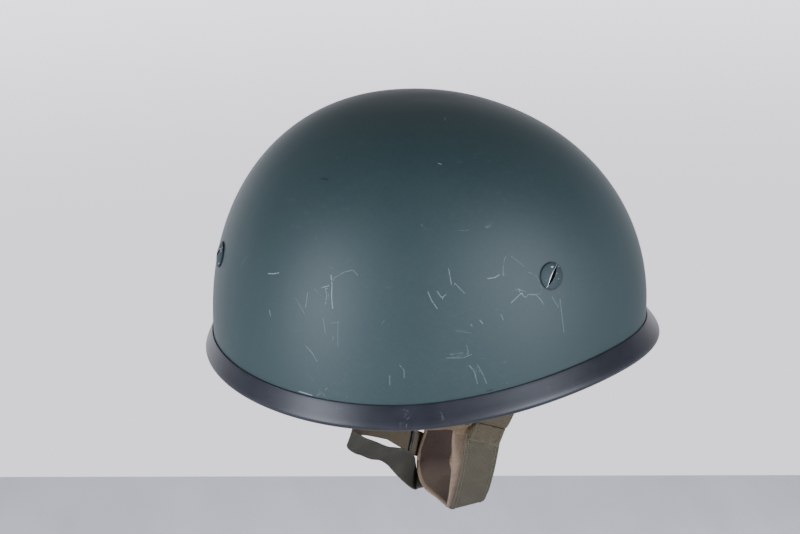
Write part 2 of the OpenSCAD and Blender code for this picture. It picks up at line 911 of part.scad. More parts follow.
// Nape strap: sewn under the chin strap, round behind the neck and back through the slide buckle
// to its sewn end between the chin strap and its lining. Places are behind and below the studs
function hung(x, y, z) = [x * layer_chin / 78.4, stud_y + y, stud_z - z * chin_depth / 89];
web_back = web_w / 2;
under_chin = chin_line[bottom_i] + (web_t / 2 + lay + nape_t / 2) * chin_out[bottom_i];
sewn_point = chin_line[sewn_i] - (web_t / 2 + lay + nape_t / 2 + sewn_lift) * chin_out[sewn_i];
// Straight stretch that carries the buckle
slide_dir = unit([-15, 23.4, 24.3]);
slide_across = unit([0.63, -0.38, 0.67] - slide_dir * (slide_dir * [0.63, -0.38, 0.67]));
slide_end = sewn_point + (web_back + 5) * chin_across[sewn_i] + [-1.4, 0, 1];
slide_run = 32;
// Free stretch between the end of the slide's travel and the buckle
buckle_rest = 2;
slide_start = slide_end + slide_run * slide_dir;

module nape_strap() {
    side = chin_heading[bottom_i];
    back = chin_across[bottom_i];
    // Place, direction of the width and share of the width
    keys = [
        [under_chin - 8 * back, side, 1],
        [under_chin + (web_back + 0.6) * back, side, 1],
        [under_chin + (web_back + 4.6) * back + [-0.8, 0, 1.4], side + [-0.2, -0.2, 0.2], 1],
        [hung(29.5, 27.5, 74.5), [0, -0.35, 0.8], 1],
        [hung(21, 34.2, 63), [-0.4, -0.4, 0.75], 1],
        [hung(12.5, 41.2, 54.8), [-0.5, -0.5, 0.65], 1],
        [hung(5, 49.2, 49), [-0.52, -0.48, 0.68], 1],
        [hung(0.5, 57, 42.6), [-0.48, -0.4, 0.77], 0.97],
        [hung(0.5, 63.2, 39), [-0.3, -0.35, 0.88], 0.87],
        [hung(8, 66.5, 36.8), [0, -0.35, 0.93], 0.78],
        [hung(20, 57, 35), [0.3, -0.4, 0.87], 0.85],
        [slide_start, slide_across, 1]
    ];
    finish = [
        [slide_end, slide_across, 1],
        [sewn_point + (web_back - 1) * chin_across[sewn_i], chin_heading[sewn_i], 1],
        [sewn_point - 7 * chin_across[sewn_i], chin_heading[sewn_i], 1]
    ];
    all_rows = concat(curve(keys, 4), finish);
    color(olive_web)
    open_sweep(strap_sections(
        [for (r = all_rows) r[0]], [for (r = all_rows) r[1]], [for (r = all_rows) nape_w * r[2]], nape_t
    ));
}

// Slide buckle: two bars outside the strap and one inside, joined by the side rails
module slide_buckle() {
    mid = slide_end + (buckle_l / 2 + buckle_rest) * slide_dir;
    w = slide_across;
    n = cross(slide_dir, w);
    half_w = nape_w / 2 + run_gap + 0.4;
    off = nape_t / 2 + run_gap;
    color(black_steel)
    multmatrix([
        [slide_dir.x, w.x, n.x, mid.x],
        [slide_dir.y, w.y, n.y, mid.y],
        [slide_dir.z, w.z, n.z, mid.z],
        [0, 0, 0, 1]
    ]) {
        for (s = [-1, 1])
            translate([s * (buckle_l - buckle_bar) / 2 - buckle_bar / 2, -half_w - 1, off])
                cube([buckle_bar, 2 * half_w + 2, buckle_bar * 0.7]);
        translate([-buckle_bar / 2, -half_w - 1, -off - buckle_bar * 0.7])
            cube([buckle_bar, 2 * half_w + 2, buckle_bar * 0.7]);
        for (s = [-1, 1])
            translate([-buckle_l / 2, s > 0 ? half_w : -half_w - buckle_bar, -off - buckle_bar * 0.7])
                cube([buckle_l, buckle_bar, 2 * off + buckle_bar * 1.4]);
    }
}

steel_shell();
rim_trim();
bolt(bolts[0]);  // bolt_right
bolt(bolts[1]);  // bolt_left
bolt(bolts[2]);  // bolt_rear
bolt_spacers();
bolt_washers();
bolt_nuts();
outer_band();
inner_band();
band_springs();
leather_liner();
crown_lace();
crown_pad();
forehead_pad();
nape_pad();
temple_pad_right();
temple_pad_left();
front_leg();  // front_leg_right
mirror([1, 0, 0]) front_leg();  // front_leg_left
rear_strap();
stud();  // stud_right
mirror([1, 0, 0]) stud();  // stud_left
chin_strap();
chin_lining();
socket();  // socket_right
mirror([1, 0, 0]) socket();  // socket_left
nape_strap();
slide_buckle();
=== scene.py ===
"""Paratrooper helmet: smooth forms, straps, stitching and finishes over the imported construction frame.

Lengths inside the classes are millimetres in the part's frame (+Z up, the wearer looks along -Y and
the wearer's right is -X). They become metres when a mesh is made.
"""

import logging
import math
from dataclasses import dataclass, field, replace
from enum import Enum
from typing import Callable, Mapping, Sequence

import bpy
import numpy as np
from mathutils import Matrix, Vector


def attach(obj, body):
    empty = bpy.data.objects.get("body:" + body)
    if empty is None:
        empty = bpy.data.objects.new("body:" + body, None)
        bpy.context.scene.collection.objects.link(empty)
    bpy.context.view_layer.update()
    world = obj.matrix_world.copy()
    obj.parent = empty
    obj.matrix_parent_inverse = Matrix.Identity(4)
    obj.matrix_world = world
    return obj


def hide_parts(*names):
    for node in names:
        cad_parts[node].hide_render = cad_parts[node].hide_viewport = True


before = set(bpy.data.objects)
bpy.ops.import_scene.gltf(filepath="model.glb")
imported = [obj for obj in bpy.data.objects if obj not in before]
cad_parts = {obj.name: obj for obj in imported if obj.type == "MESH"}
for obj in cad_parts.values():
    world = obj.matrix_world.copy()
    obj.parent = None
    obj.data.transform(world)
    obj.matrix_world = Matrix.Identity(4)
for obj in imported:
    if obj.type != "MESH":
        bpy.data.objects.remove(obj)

Array = np.ndarray
Colour = tuple[float, float, float]

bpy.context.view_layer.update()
MM = 0.001
PER_METRE = 1000.0
SHARP = 50.0
MIRROR = np.diag([-1.0, 1.0, 1.0])
UP = np.array([0.0, 0.0, 1.0])
CHART = "chart"
UNDER = "under"
STORED = ("across", "away", "strength")

log = logging.getLogger("helmet")


class Body(Enum):
    """The moving bodies that pieces ride on."""

    HELMET = "helmet"
    CHIN = "chin_harness"
    BUCKLE = "nape_buckle"


# Array helpers


def unit(v: Array) -> Array:
    """Scale vectors to length one."""
    return v / np.linalg.norm(v, axis=-1, keepdims=True)


def smooth(k: Array | float) -> Array:
    """Ease a share from 0 to 1: with c the share cut to 0..1, c^2 (3 - 2c)."""
    c = np.clip(k, 0.0, 1.0)
    return c * c * (3.0 - 2.0 * c)


def shaded(colour: Colour, share: float) -> Colour:
    """A colour times a number, up to full brightness."""
    return tuple(min(1.0, v * share) for v in colour)


def lerp(a: Array | float, b: Array | float, k: Array | float) -> Array:
    """Go the share k of the way from a to b."""
    return a + (b - a) * k


def vec(*values: float) -> Array:
    """Make a vector of numbers."""
    return np.array(values, dtype=float)


def dot(a: Array, b: Array) -> Array:
    """Dot product that keeps the last axis."""
    return (a * b).sum(axis=-1, keepdims=True)


def flow(keys: Array, steps: int) -> Array:
    """Carry a smooth curve through key rows.

    Between keys b and c, with neighbours a and d and share k, a row is
    0.5 (2b + (c - a) k + (2a - 5b + 4c - d) k^2 + (3b - a - 3c + d) k^3).

    Args:
        keys: One key to a row.
        steps: Rows made for each stretch between two keys.

    Returns:
        The rows of the curve, the last key included.
    """
    ends = np.vstack([keys[:1], keys, keys[-1:]])
    stretches = len(keys) - 1
    a, b, c, d = (ends[i:i + stretches, None, :] for i in range(4))
    k = (np.arange(steps) / steps)[None, :, None]
    rows = 0.5 * (2 * b + (c - a) * k + (2 * a - 5 * b + 4 * c - d) * k**2 + (3 * b - a - 3 * c + d) * k**3)
    return np.vstack([rows.reshape(-1, keys.shape[1]), keys[-1:]])


def rounded(points: Array, reach: float, steps: int, closed: bool = False) -> Array:
    """Round the corners of a path of straight stretches.

    Each corner p becomes the arc (1 - k)^2 s + 2 k (1 - k) p + k^2 e, where s and e lie on the two
    stretches that meet there, at most `reach` and at most 0.45 of a stretch away.

    Args:
        points: Corners, one to a row. Columns after the third are carried along.
        reach: How far from a corner the rounding starts.
        steps: Points in each arc.
        closed: Whether the last corner joins the first.

    Returns:
        The rows of the rounded path.
    """
    before, after = np.roll(points, 1, axis=0), np.roll(points, -1, axis=0)
    size_before = np.linalg.norm((before - points)[:, :3], axis=1, keepdims=True)
    size_after = np.linalg.norm((after - points)[:, :3], axis=1, keepdims=True)
    start = points + (before - points) * np.minimum(reach / np.maximum(size_before, 1e-9), 0.45)
    end = points + (after - points) * np.minimum(reach / np.maximum(size_after, 1e-9), 0.45)
    k = np.linspace(0.0, 1.0, steps)[None, :, None]
    arcs = (1 - k) ** 2 * start[:, None] + 2 * k * (1 - k) * points[:, None] + k**2 * end[:, None]
    if closed:
        return arcs.reshape(-1, points.shape[1])
    inner = arcs[1:-1].reshape(-1, points.shape[1])
    return np.vstack([points[:1], inner, points[-1:]])


def evenly(path: Array, spacing: float, margin: float = 0.0) -> Array:
    """Place rows at even distances along a path.

    Args:
        path: Rows whose first three columns are a place. The other columns are carried along.
        spacing: Distance wanted between rows.
        margin: Stretch left free at both ends.

    Returns:
        The evenly placed rows.
    """
    run = lengths(path[:, :3])
    count = max(2, int(round((run[-1] - 2 * margin) / spacing)) + 1)
    wanted = np.linspace(margin, run[-1] - margin, count)
    return np.stack([np.interp(wanted, run, path[:, i]) for i in range(path.shape[1])], axis=1)


def lengths(path: Array) -> Array:
    """Distance of each row of a path from its first row, along the path."""
    return np.concatenate([[0.0], np.cumsum(np.linalg.norm(np.diff(path, axis=0), axis=1))])


def headings(line: Array) -> Array:
    """Direction of a path at each row, from the row before to the row after."""
    ends = np.vstack([line[:1], line, line[-1:]])
    return unit(ends[2:] - ends[:-2])


def wander(p: Array, size: float) -> Array:
    """Give each place a calm irregular number between about -1 and 1.

    It is the mean of sin(x/s + 1.7 sin(y/s)), sin(1.3 y/s + 1.1 sin(z/s)) and sin(0.9 z/s + 1.4 sin(x/s)).

    Args:
        p: Places.
        size: The size s of its features.

    Returns:
        One number for each place.
    """
    x, y, z = (p[..., i] / size for i in range(3))
    return (
        np.sin(x + 1.7 * np.sin(y))
        + np.sin(1.3 * y + 1.1 * np.sin(z))
        + np.sin(0.9 * z + 1.4 * np.sin(x))
    ) / 3.0


# Shader expressions


@dataclass(frozen=True)
class Flow:
    """A socket whose values are worked with in plain expressions."""

    net: "Net"
    socket: bpy.types.NodeSocket

    def _maths(self, operation: str, *others: "Flow | float") -> "Flow":
        """Add a Math node that works on this socket and the others."""
        return self.net.maths(operation, self, *others)

    def __add__(self, other: "Flow | float") -> "Flow":
        """Sum."""
        return self._maths("ADD", other)

    __radd__ = __add__

    def __mul__(self, other: "Flow | float") -> "Flow":
        """Product."""
        return self._maths("MULTIPLY", other)

    __rmul__ = __mul__

    def __sub__(self, other: "Flow | float") -> "Flow":
        """Difference."""
        return self._maths("SUBTRACT", other)

    def __rsub__(self, other: float) -> "Flow":
        """Difference from a number."""
        return self.net.maths("SUBTRACT", other, self)

    def __truediv__(self, other: "Flow | float") -> "Flow":
        """Quotient."""
        return self._maths("DIVIDE", other)

    def sine(self) -> "Flow":
        """Sine of an angle in radians."""
        return self._maths("SINE")

    def size(self) -> "Flow":
        """Value without its sign."""
        return self._maths("ABSOLUTE")

    def least(self, other: "Flow | float") -> "Flow":
        """The smaller of two values."""
        return self._maths("MINIMUM", other)

    def most(self, other: "Flow | float") -> "Flow":
        """The larger of two values."""
        return self._maths("MAXIMUM", other)

    def ramp(self, low: float, high: float) -> "Flow":
        """Ease from 0 at one value to 1 at another.

        Args:
            low: Value that gives 0.
            high: Value that gives 1, above or below low.

        Returns:
            The eased share.
        """
        if low > high:
            return 1.0 - self.ramp(high, low)
        return self.net.node(
            "ShaderNodeMapRange",
            {"interpolation_type": "SMOOTHSTEP"},
            {0: self, 1: low, 2: high, 3: 0.0, 4: 1.0},
        )


class Net:
    """The node tree of a material or of the surroundings."""

    def __init__(self, owner: bpy.types.Material | bpy.types.World) -> None:
        """Start with an empty tree.

        Args:
            owner: What the tree belongs to.
        """
        owner.use_nodes = True
        self.tree = owner.node_tree
        self.tree.nodes.clear()

    def node(
        self,
        kind: str,
        settings: Mapping[str, object] | None = None,
        sockets: Mapping[int | str, object] | None = None,
        out: int | str = 0,
    ) -> Flow:
        """Add any node.

        Args:
            kind: Blender's type name of the node.
            settings: Properties set first. The entry "stops" fills a colour ramp.
            sockets: Values or links of the inputs, by number or name.
            out: The output that is handed back.

        Returns:
            The chosen output.
        """
        made = self.tree.nodes.new(kind)
        for name, value in (settings or {}).items():
            if name == "stops":
                for i, (place, colour) in enumerate(value):
                    stop = made.color_ramp.elements[i] if i < 2 else made.color_ramp.elements.new(place)
                    stop.position, stop.color = place, (*colour, 1.0)
            else:
                setattr(made, name, value)
        for key, value in (sockets or {}).items():
            plug = made.inputs[key]
            if isinstance(value, Flow):
                self.tree.links.new(value.socket, plug)
            elif isinstance(value, tuple) and len(value) == 3 and plug.type == "RGBA":
                plug.default_value = (*value, 1.0)
            else:
                plug.default_value = value
        return Flow(self, made.outputs[out] if made.outputs else made.inputs[0])

    def maths(self, operation: str, *values: Flow | float) -> Flow:
        """Add a Math node on sockets or numbers."""
        return self.node("ShaderNodeMath", {"operation": operation}, dict(enumerate(values)))

    def places(self) -> Flow:
        """Places on the object, in metres."""
        return self.node("ShaderNodeTexCoord", out="Object")

    def chart(self) -> tuple[Flow, Flow]:
        """Distance along and across a strap or profile, in millimetres."""
        uv = self.node("ShaderNodeUVMap", {"uv_map": CHART})
        return self.axis(uv, "X") * PER_METRE, self.axis(uv, "Y") * PER_METRE

    def axis(self, places: Flow, name: str) -> Flow:
        """One coordinate of places."""
        return self.node("ShaderNodeSeparateXYZ", None, {0: places}, out=name)

    def stored(self, name: str) -> Flow:
        """A number kept at each point of the mesh."""
        return self.node("ShaderNodeAttribute", {"attribute_name": name}, out="Fac")

    def stretch(self, places: Flow, scale: Colour) -> Flow:
        """Scale places along each axis."""
        return self.node("ShaderNodeMapping", None, {"Vector": places, "Scale": scale})

    def noise(self, places: Flow, grain: float, detail: float = 3.0, rough: float = 0.55) -> Flow:
        """Noise from 0 to 1.

        Args:
            places: Where it is read.
            grain: Size of its features in millimetres.
            detail: Octaves of finer noise.
            rough: Strength of the finer noise.

        Returns:
            The noise value.
        """
        return self.node(
            "ShaderNodeTexNoise",
            None,
            {"Vector": places, "Scale": PER_METRE / grain, "Detail": detail, "Roughness": rough},
        )

    def cells(self, places: Flow, grain: float, feature: str = "F1") -> Flow:
        """Distance to the nearest of scattered points, as a share of the grain in millimetres."""
        scale = PER_METRE / grain
        return self.node("ShaderNodeTexVoronoi", {"feature": feature}, {"Vector": places, "Scale": scale})

    def mix(self, factor: Flow | float, low: Flow | Colour, high: Flow | Colour) -> Flow:
        """Mix two colours."""
        return self.node("ShaderNodeMix", {"data_type": "RGBA"}, {0: factor, 6: low, 7: high}, out=2)

    def far(self, places: Flow, centre: Array) -> Flow:
        """Distance in millimetres from a centre given in millimetres."""
        spots = {0: places, 1: tuple(float(v) * MM for v in centre)}
        return self.node("ShaderNodeVectorMath", {"operation": "DISTANCE"}, spots, "Value") * PER_METRE

    def bump(self, height: Flow, depth: float) -> Flow:
        """Turn a height of 0..1 into a surface direction; depth is in millimetres."""
        return self.node("ShaderNodeBump", None, {"Height": height, "Distance": depth * MM, "Strength": 1.0})

    def finish(self, tone: Flow, rough: Flow | float, normal: Flow, **others: Flow | float) -> None:
        """Close a material's tree with a Principled shader.

        Args:
            tone: Its colour.
            rough: Its roughness.
            normal: Its surface direction.
            others: Other inputs, with low lines for the spaces in their names.
        """
        sockets = {"Base Color": tone, "Roughness": rough, "Normal": normal}
        sockets |= {name.replace("_", " "): value for name, value in others.items()}
        shader = self.node("ShaderNodeBsdfPrincipled", None, sockets)
        self.node("ShaderNodeOutputMaterial", None, {"Surface": shader})


# Finishes


@dataclass(frozen=True)
class Finish:
    """What a surface is made of. Each kind fills a node tree of its own."""

    slot: str

    def fill(self, net: Net) -> None:
        """Build the node tree.

        Args:
            net: The node tree.
        """
        raise NotImplementedError

    def material(self) -> bpy.types.Material:
        """The material, made once for each set of values."""
        if self not in MADE:
            MADE[self] = bpy.data.materials.new(f"{self.slot}_{len(MADE)}")
            self.fill(Net(MADE[self]))
            log.info("finish %s", type(self).__name__)
        return MADE[self]


MADE: dict[Finish, bpy.types.Material] = {}


@dataclass(frozen=True)
class Scratch:
    """A thin mark in the paint, as corners in pixels of the photograph."""

    pixels: tuple[tuple[float, float], ...]
    strength: float = 0.5


@dataclass(frozen=True)
class Mark:
    """A straight piece of a scratch between two places in millimetres."""

    start: tuple[float, float, float]
    end: tuple[float, float, float]
    strength: float


@dataclass(frozen=True)
class ShellPaint(Finish):
    """Semi-matt blue-green paint on sheet steel, with handling scratches, stains, and a painted shadow ring
    round each bolt.
    """

    slot: str = "shell_paint"
    colour: Colour = (0.0140, 0.0295, 0.0305)
    deep: Colour = (0.0125, 0.0275, 0.0290)
    chalk: Colour = (0.24, 0.31, 0.33)
    # Dark colour shared by the stains and the painted shadow rings round the bolts.
    stain_and_shadow: Colour = (0.006, 0.010, 0.013)
    roughness: float = 0.56
    # Places of the bolts, and radius of the painted shadow ring round each.
    bolts: tuple[tuple[float, float, float], ...] = ()
    ring: float = 8.0
    mark_width: float = 0.30
    mark_end: float = 0.75
    stain_width: float = 0.9

    def drawn(self, net: Net, name: str, width: float, fray: Flow) -> Flow:
        """Draw the marks that the mesh keeps.

        Args:
            net: The node tree.
            name: Kind of the marks.
            width: Half their width in millimetres.
            fray: Noise that moves their edges.

        Returns:
            Strength of the nearest mark where its middle line runs.
        """
        across, away, strength = (net.stored(f"{name}_{part}") for part in STORED)
        line = (across.size() + fray).ramp(width, width * 0.2)
        return line * away.ramp(self.mark_end + 0.4, self.mark_end) * strength

    def fill(self, net: Net) -> None:
        """Paint = broad tone + fine wipe marks + drawn scratches + stains + painted shadow rings round the
        bolts, over a fine sprayed texture.

        Args:
            net: The node tree.
        """
        p = net.places()
        broad = net.noise(p, 60.0, 2.0)
        fine = net.noise(p, 2.2, 4.0, 0.62)
        fray = (fine - 0.5) * 0.9
        hair = (net.noise(p, 30.0, 1.0, 0.4) - 0.5).size().ramp(0.0045, 0.0008)
        hair = hair * net.noise(p, 22.0, 2.0).ramp(0.58, 0.68) * fine.ramp(0.4, 0.6)
        wiped = net.noise(net.stretch(p, (1.0, 1.0, 3.0)), 7.0, 3.0, 0.6).ramp(0.56, 0.74)
        wiped = wiped * net.noise(p, 40.0, 1.0).ramp(0.5, 0.62)
        marks = (hair * 0.22).most(self.drawn(net, "scratch", self.mark_width, fray)) * fine.ramp(0.22, 0.5)
        # Painted shadow: a dark ring round each bolt head where it sits on the dome.
        rings = fray * 0.0
        for bolt in self.bolts:
            away = net.far(p, vec(*bolt)) + fray * 0.5
            rings = rings.most(away.ramp(self.ring + 0.75, self.ring + 0.1))
        # Stains and painted shadow rings are mixed to one dark colour.
        stain_and_shadow = rings.most(self.drawn(net, "stain", self.stain_width, fray)) * 0.92
        tone = net.mix(broad.ramp(0.3, 0.7), self.deep, self.colour)
        tone = net.mix(fine.ramp(0.3, 0.8) * 0.08, tone, (0.045, 0.08, 0.09))
        tone = net.mix(wiped * 0.12, tone, (0.06, 0.085, 0.09))
        tone = net.mix(marks, tone, self.chalk)
        tone = net.mix(stain_and_shadow, tone, self.stain_and_shadow)
        rough = self.roughness + (broad - 0.5) * 0.08 + marks * 0.15 + (fine - 0.5) * 0.05 + wiped * 0.04
        peel = net.noise(p, 0.9, 2.0, 0.5)
        normal = net.bump(peel + broad * 6.0 - marks * 1.2, 0.012)
        net.finish(tone, rough, normal, Specular_IOR_Level=0.37)


@dataclass(frozen=True)
class EdgeRubber(Finish):
    """Smooth dark rubber with a faint bloom and scuffs."""

    slot: str = "rubber_edge"
    colour: Colour = (0.0065, 0.0075, 0.0115)
    bloom: Colour = (0.015, 0.0165, 0.025)
    roughness: float = 0.41

    def fill(self, net: Net) -> None:
        """Rubber = drawn streaks along the edge + bloom + small scuffs.

        Args:
            net: The node tree.
        """
        p = net.places()
        along, across = net.chart()
        flat = net.node("ShaderNodeCombineXYZ", None, {0: along * 0.00004, 1: across * 0.001, 2: 0.0})
        drawn = net.noise(flat, 1.6, 3.0, 0.5)
        cloud = net.noise(p, 22.0, 4.0)
        scuff = (net.noise(p, 7.0, 3.0) - 0.5).size().ramp(0.01, 0.003)
        scuff = scuff * net.noise(p, 12.0, 2.0).ramp(0.62, 0.7)
        tone = net.mix(cloud.ramp(0.35, 0.75) * 0.6, self.colour, self.bloom)
        tone = net.mix(drawn.ramp(0.4, 0.7) * 0.25, tone, self.bloom)
        tone = net.mix(scuff * 0.28, tone, (0.16, 0.17, 0.19))
        rough = self.roughness + (cloud - 0.5) * 0.14 + scuff * 0.2 + (drawn - 0.5) * 0.06
        normal = net.bump(drawn + net.noise(p, 0.7, 2.0) * 0.5, 0.02)
        net.finish(tone, rough, normal, Specular_IOR_Level=0.36)


@dataclass(frozen=True)
class SheetSteel(Finish):
    """Plain or plated sheet steel, drawn and handled."""

    slot: str = "plain_steel"
    colour: Colour = (0.42, 0.42, 0.41)
    stain: Colour = (0.16, 0.13, 0.1)
    roughness: float = 0.36

    def fill(self, net: Net) -> None:
        """Steel = drawn lines + cloudy tarnish.

        Args:
            net: The node tree.
        """
        p = net.places()
        drawn = net.noise(net.stretch(p, (1.0, 1.0, 14.0)), 7.0, 3.0)
        cloud = net.noise(p, 9.0, 4.0)
        tone = net.mix(cloud.ramp(0.45, 0.85) * 0.55, self.colour, self.stain)
        tone = net.mix(drawn.ramp(0.35, 0.7) * 0.2, tone, (0.6, 0.6, 0.58))
        rough = self.roughness + (cloud - 0.5) * 0.25 + (drawn - 0.5) * 0.12
        net.finish(tone, rough, net.bump(drawn, 0.01), Metallic=0.92)


@dataclass(frozen=True)
class BoltFinish(Finish):
    """Bolt whose head carries the shell's paint, worn to metal along the slot, with painted shade inside the
    slot and a painted shadow round the head's edge.
    """

    slot: str = "shell_paint"
    paint: Colour = (0.015, 0.029, 0.033)
    metal: Colour = (0.62, 0.66, 0.66)
    place: tuple[float, float, float] = (0.0, 0.0, 0.0)
    reach: float = 9.6

    def fill(self, net: Net) -> None:
        """Stored numbers: paint at 0, bare metal at 1 on the worn edges of the slot, painted shade at 2
        inside it.

        Args:
            net: The node tree.
        """
        p = net.places()
        fine = net.noise(p, 1.1, 3.0)
        wear_and_shade = net.stored(UNDER) + (fine - 0.5) * 0.5
        away = net.far(p, vec(*self.place))
        shank = away.ramp(self.reach, self.reach + 0.6)
        # Painted shade: the inside of the slot is darkened to near black.
        dark = wear_and_shade.ramp(1.15, 1.5) * (1.0 - shank)
        # Painted shadow: a dark band round the edge of the head.
        rim = (away + (fine - 0.5) * 0.5).ramp(7.2, 7.7) * (1.0 - shank)
        chip = net.noise(p, 2.2, 2.0).ramp(0.66, 0.70) * (1.0 - shank)
        bare = (wear_and_shade.ramp(0.5, 0.8) + shank).least(1.0) * (1.0 - dark)
        tone = net.mix(fine.ramp(0.4, 0.75) * 0.2, self.paint, (0.034, 0.060, 0.065))
        tone = net.mix(chip * 0.45, tone, self.metal)
        tone = net.mix(rim * 0.85, tone, (0.004, 0.008, 0.010))
        tone = net.mix(bare, tone, self.metal)
        tone = net.mix(dark, tone, (0.003, 0.004, 0.004))
        rough = 0.62 - bare * 0.25 + dark * 0.25 + (fine - 0.5) * 0.12
        net.finish(tone, rough, net.bump(fine, 0.015), Metallic=bare * 0.9, Specular_IOR_Level=0.3)


@dataclass(frozen=True)
class Leather(Finish):
    """Grained leather, its grain side on one face and a rough flesh side on the other."""

    slot: str = "leather"
    grain: Colour = (0.13, 0.062, 0.03)
    worn: Colour = (0.26, 0.15, 0.085)
    flesh: Colour = (0.30, 0.20, 0.125)
    roughness: float = 0.52
    pebble: float = 1.1
    border: float = 0.0
    half_width: float = 12.0
    # Height in millimetres below which the flesh side turns lighter towards the bottom.
    pale_below: float = -1000.0

    def fill(self, net: Net) -> None:
        """Leather = pebbled cells + creases on the grain side, with painted shade in the creases and between
        the pebbles, felt on the flesh side.

        Args:
            net: The node tree.
        """
        p = net.places()
        under = net.stored(UNDER)
        cells = net.cells(p, self.pebble, "SMOOTH_F1")
        cloud = net.noise(p, 16.0, 4.0)
        crease = (net.noise(net.stretch(p, (1.0, 1.0, 1.8)), 9.0, 2.0) - 0.5).size().ramp(0.035, 0.0)
        felt = net.noise(p, 0.8, 4.0, 0.7)
        tone = net.mix(cloud.ramp(0.42, 0.8) * 0.8, self.grain, self.worn)
        # Painted shade: the creases and the gaps between the pebbles are darkened.
        tone = net.mix(crease * 0.35, tone, shaded(self.grain, 0.35))
        tone = net.mix(cells.ramp(0.35, 0.75) * 0.3, tone, shaded(self.grain, 0.5))
        rough_side = net.mix(felt.ramp(0.3, 0.75) * 0.5, self.flesh, shaded(self.flesh, 0.55))
        rough_side = net.mix(cloud.ramp(0.4, 0.8) * 0.3, rough_side, shaded(self.flesh, 2.2))
        # The flesh side turns lighter towards the bottom of the piece.
        lower_share = (net.axis(p, "Z") * PER_METRE).ramp(self.pale_below, self.pale_below - 18.0)
        rough_side = net.mix(lower_share * 0.4, rough_side, self.worn)
        if self.border:
            edge = net.chart()[1].size() + (cloud - 0.5) * 1.2
            start = self.half_width - self.border
            rough_side = net.mix(edge.ramp(start - 0.3, start + 0.3), rough_side, tone)
        tone = net.mix(under, tone, rough_side)
        rough = self.roughness + (cloud - 0.5) * 0.2 + under * 0.35
        height = (1.0 - under) * (1.0 - cells) * 0.9 - crease * 0.6 + under * felt * 1.3
        net.finish(tone, rough, net.bump(height, 0.12))


@dataclass(frozen=True)
class Webbing(Finish):
    """Woven cotton webbing: ribs across the strap, yarns along it, painted shade between the yarns, dust and
    rubbed edges.
    """

    slot: str = "webbing"
    colour: Colour = (0.068, 0.058, 0.036)
    # Colour of the painted shade in the low places of the weave, also used for dust.
    shade: Colour = (0.028, 0.024, 0.016)
    pale: Colour = (0.120, 0.105, 0.070)
    rib: float = 1.05
    yarn: float = 0.8
    half_width: float = 10.0
    inside: Colour | None = None

    def fill(self, net: Net) -> None:
        """Height = max(warp, weft), warp = |sin(pi along/rib)| where the yarns change over.

        Args:
            net: The node tree.
        """
        p = net.places()
        along, across = net.chart()
        over = (across / self.yarn * math.pi).sine()
        ribs = (along / self.rib * math.pi).sine()
        check = (over * ribs).ramp(-0.5, 0.5)
        warp = over.size() * check
        weft = ribs.size() * (1.0 - check)
        height = warp.most(weft)
        cloud = net.noise(p, 14.0, 4.0)
        fibre = net.noise(p, 0.5, 3.0, 0.7)
        dust = net.noise(p, 5.0, 4.0)
        edge = (across.size() / self.half_width).ramp(0.86, 1.02)
        ground = net.mix(net.stored(UNDER), self.colour, self.inside) if self.inside else self.colour
        # Painted shade: the low places of the weave take the shade colour.
        tone = net.mix(height.ramp(0.1, 0.8), self.shade, ground)
        tone = net.mix(cloud.ramp(0.4, 0.8) * 0.35, tone, self.pale)
        tone = net.mix(dust.ramp(0.55, 0.8) * 0.3, tone, self.shade)
        tone = net.mix(edge * 0.35, tone, self.pale)
        tone = net.mix(fibre.ramp(0.55, 0.85) * 0.3, tone, self.pale)
        normal = net.bump(height * 0.8 + fibre * 0.35, 0.28)
        net.finish(tone, 0.92 - height * 0.08, normal, Specular_IOR_Level=0.25)


@dataclass(frozen=True)
class Foam(Finish):
    """Fine dark foam with open pores."""

    slot: str = "foam"
    colour: Colour = (0.075, 0.075, 0.073)

    def fill(self, net: Net) -> None:
        """Foam = a mottled ground with painted shade in its open pores.

        Args:
            net: The node tree.
        """
        p = net.places()
        pores = net.cells(p, 1.3)
        cloud = net.noise(p, 12.0, 3.0)
        # Painted shade: the pores are darkened.
        tone = net.mix(pores.ramp(0.5, 0.15), self.colour, shaded(self.colour, 0.35))
        tone = net.mix(cloud.ramp(0.4, 0.8) * 0.4, tone, (0.13, 0.125, 0.115))
        net.finish(tone, 0.93 - cloud * 0.05, net.bump(pores.ramp(0.1, 0.5), 0.3))


@dataclass(frozen=True)
class Cord(Finish):
    """Twisted cotton: lace and sewing thread."""

    slot: str = "lace"
    colour: Colour = (0.46, 0.40, 0.28)
    pitch: float = 2.4

    def fill(self, net: Net) -> None:
        """Strands wind round: sin(2 pi (along/pitch + across)), with painted shade in the grooves between
        them.

        Args:
            net: The node tree.
        """
        p = net.places()
        along, across = net.chart()
        strand = ((along / self.pitch + across) * 2.0 * math.pi).sine().ramp(-1.0, 0.6)
        fuzz = net.noise(p, 0.4, 3.0, 0.7)
        # Painted shade: the grooves between the strands are darkened.
        tone = net.mix(strand, shaded(self.colour, 0.4), self.colour)
        tone = net.mix(fuzz.ramp(0.4, 0.8) * 0.3, tone, shaded(self.colour, 1.4))
        net.finish(tone, 0.85 + fuzz * 0.1, net.bump(strand + fuzz * 0.3, 0.2))


THREAD = Cord(slot="webbing", colour=(0.17, 0.15, 0.10), pitch=1.0)


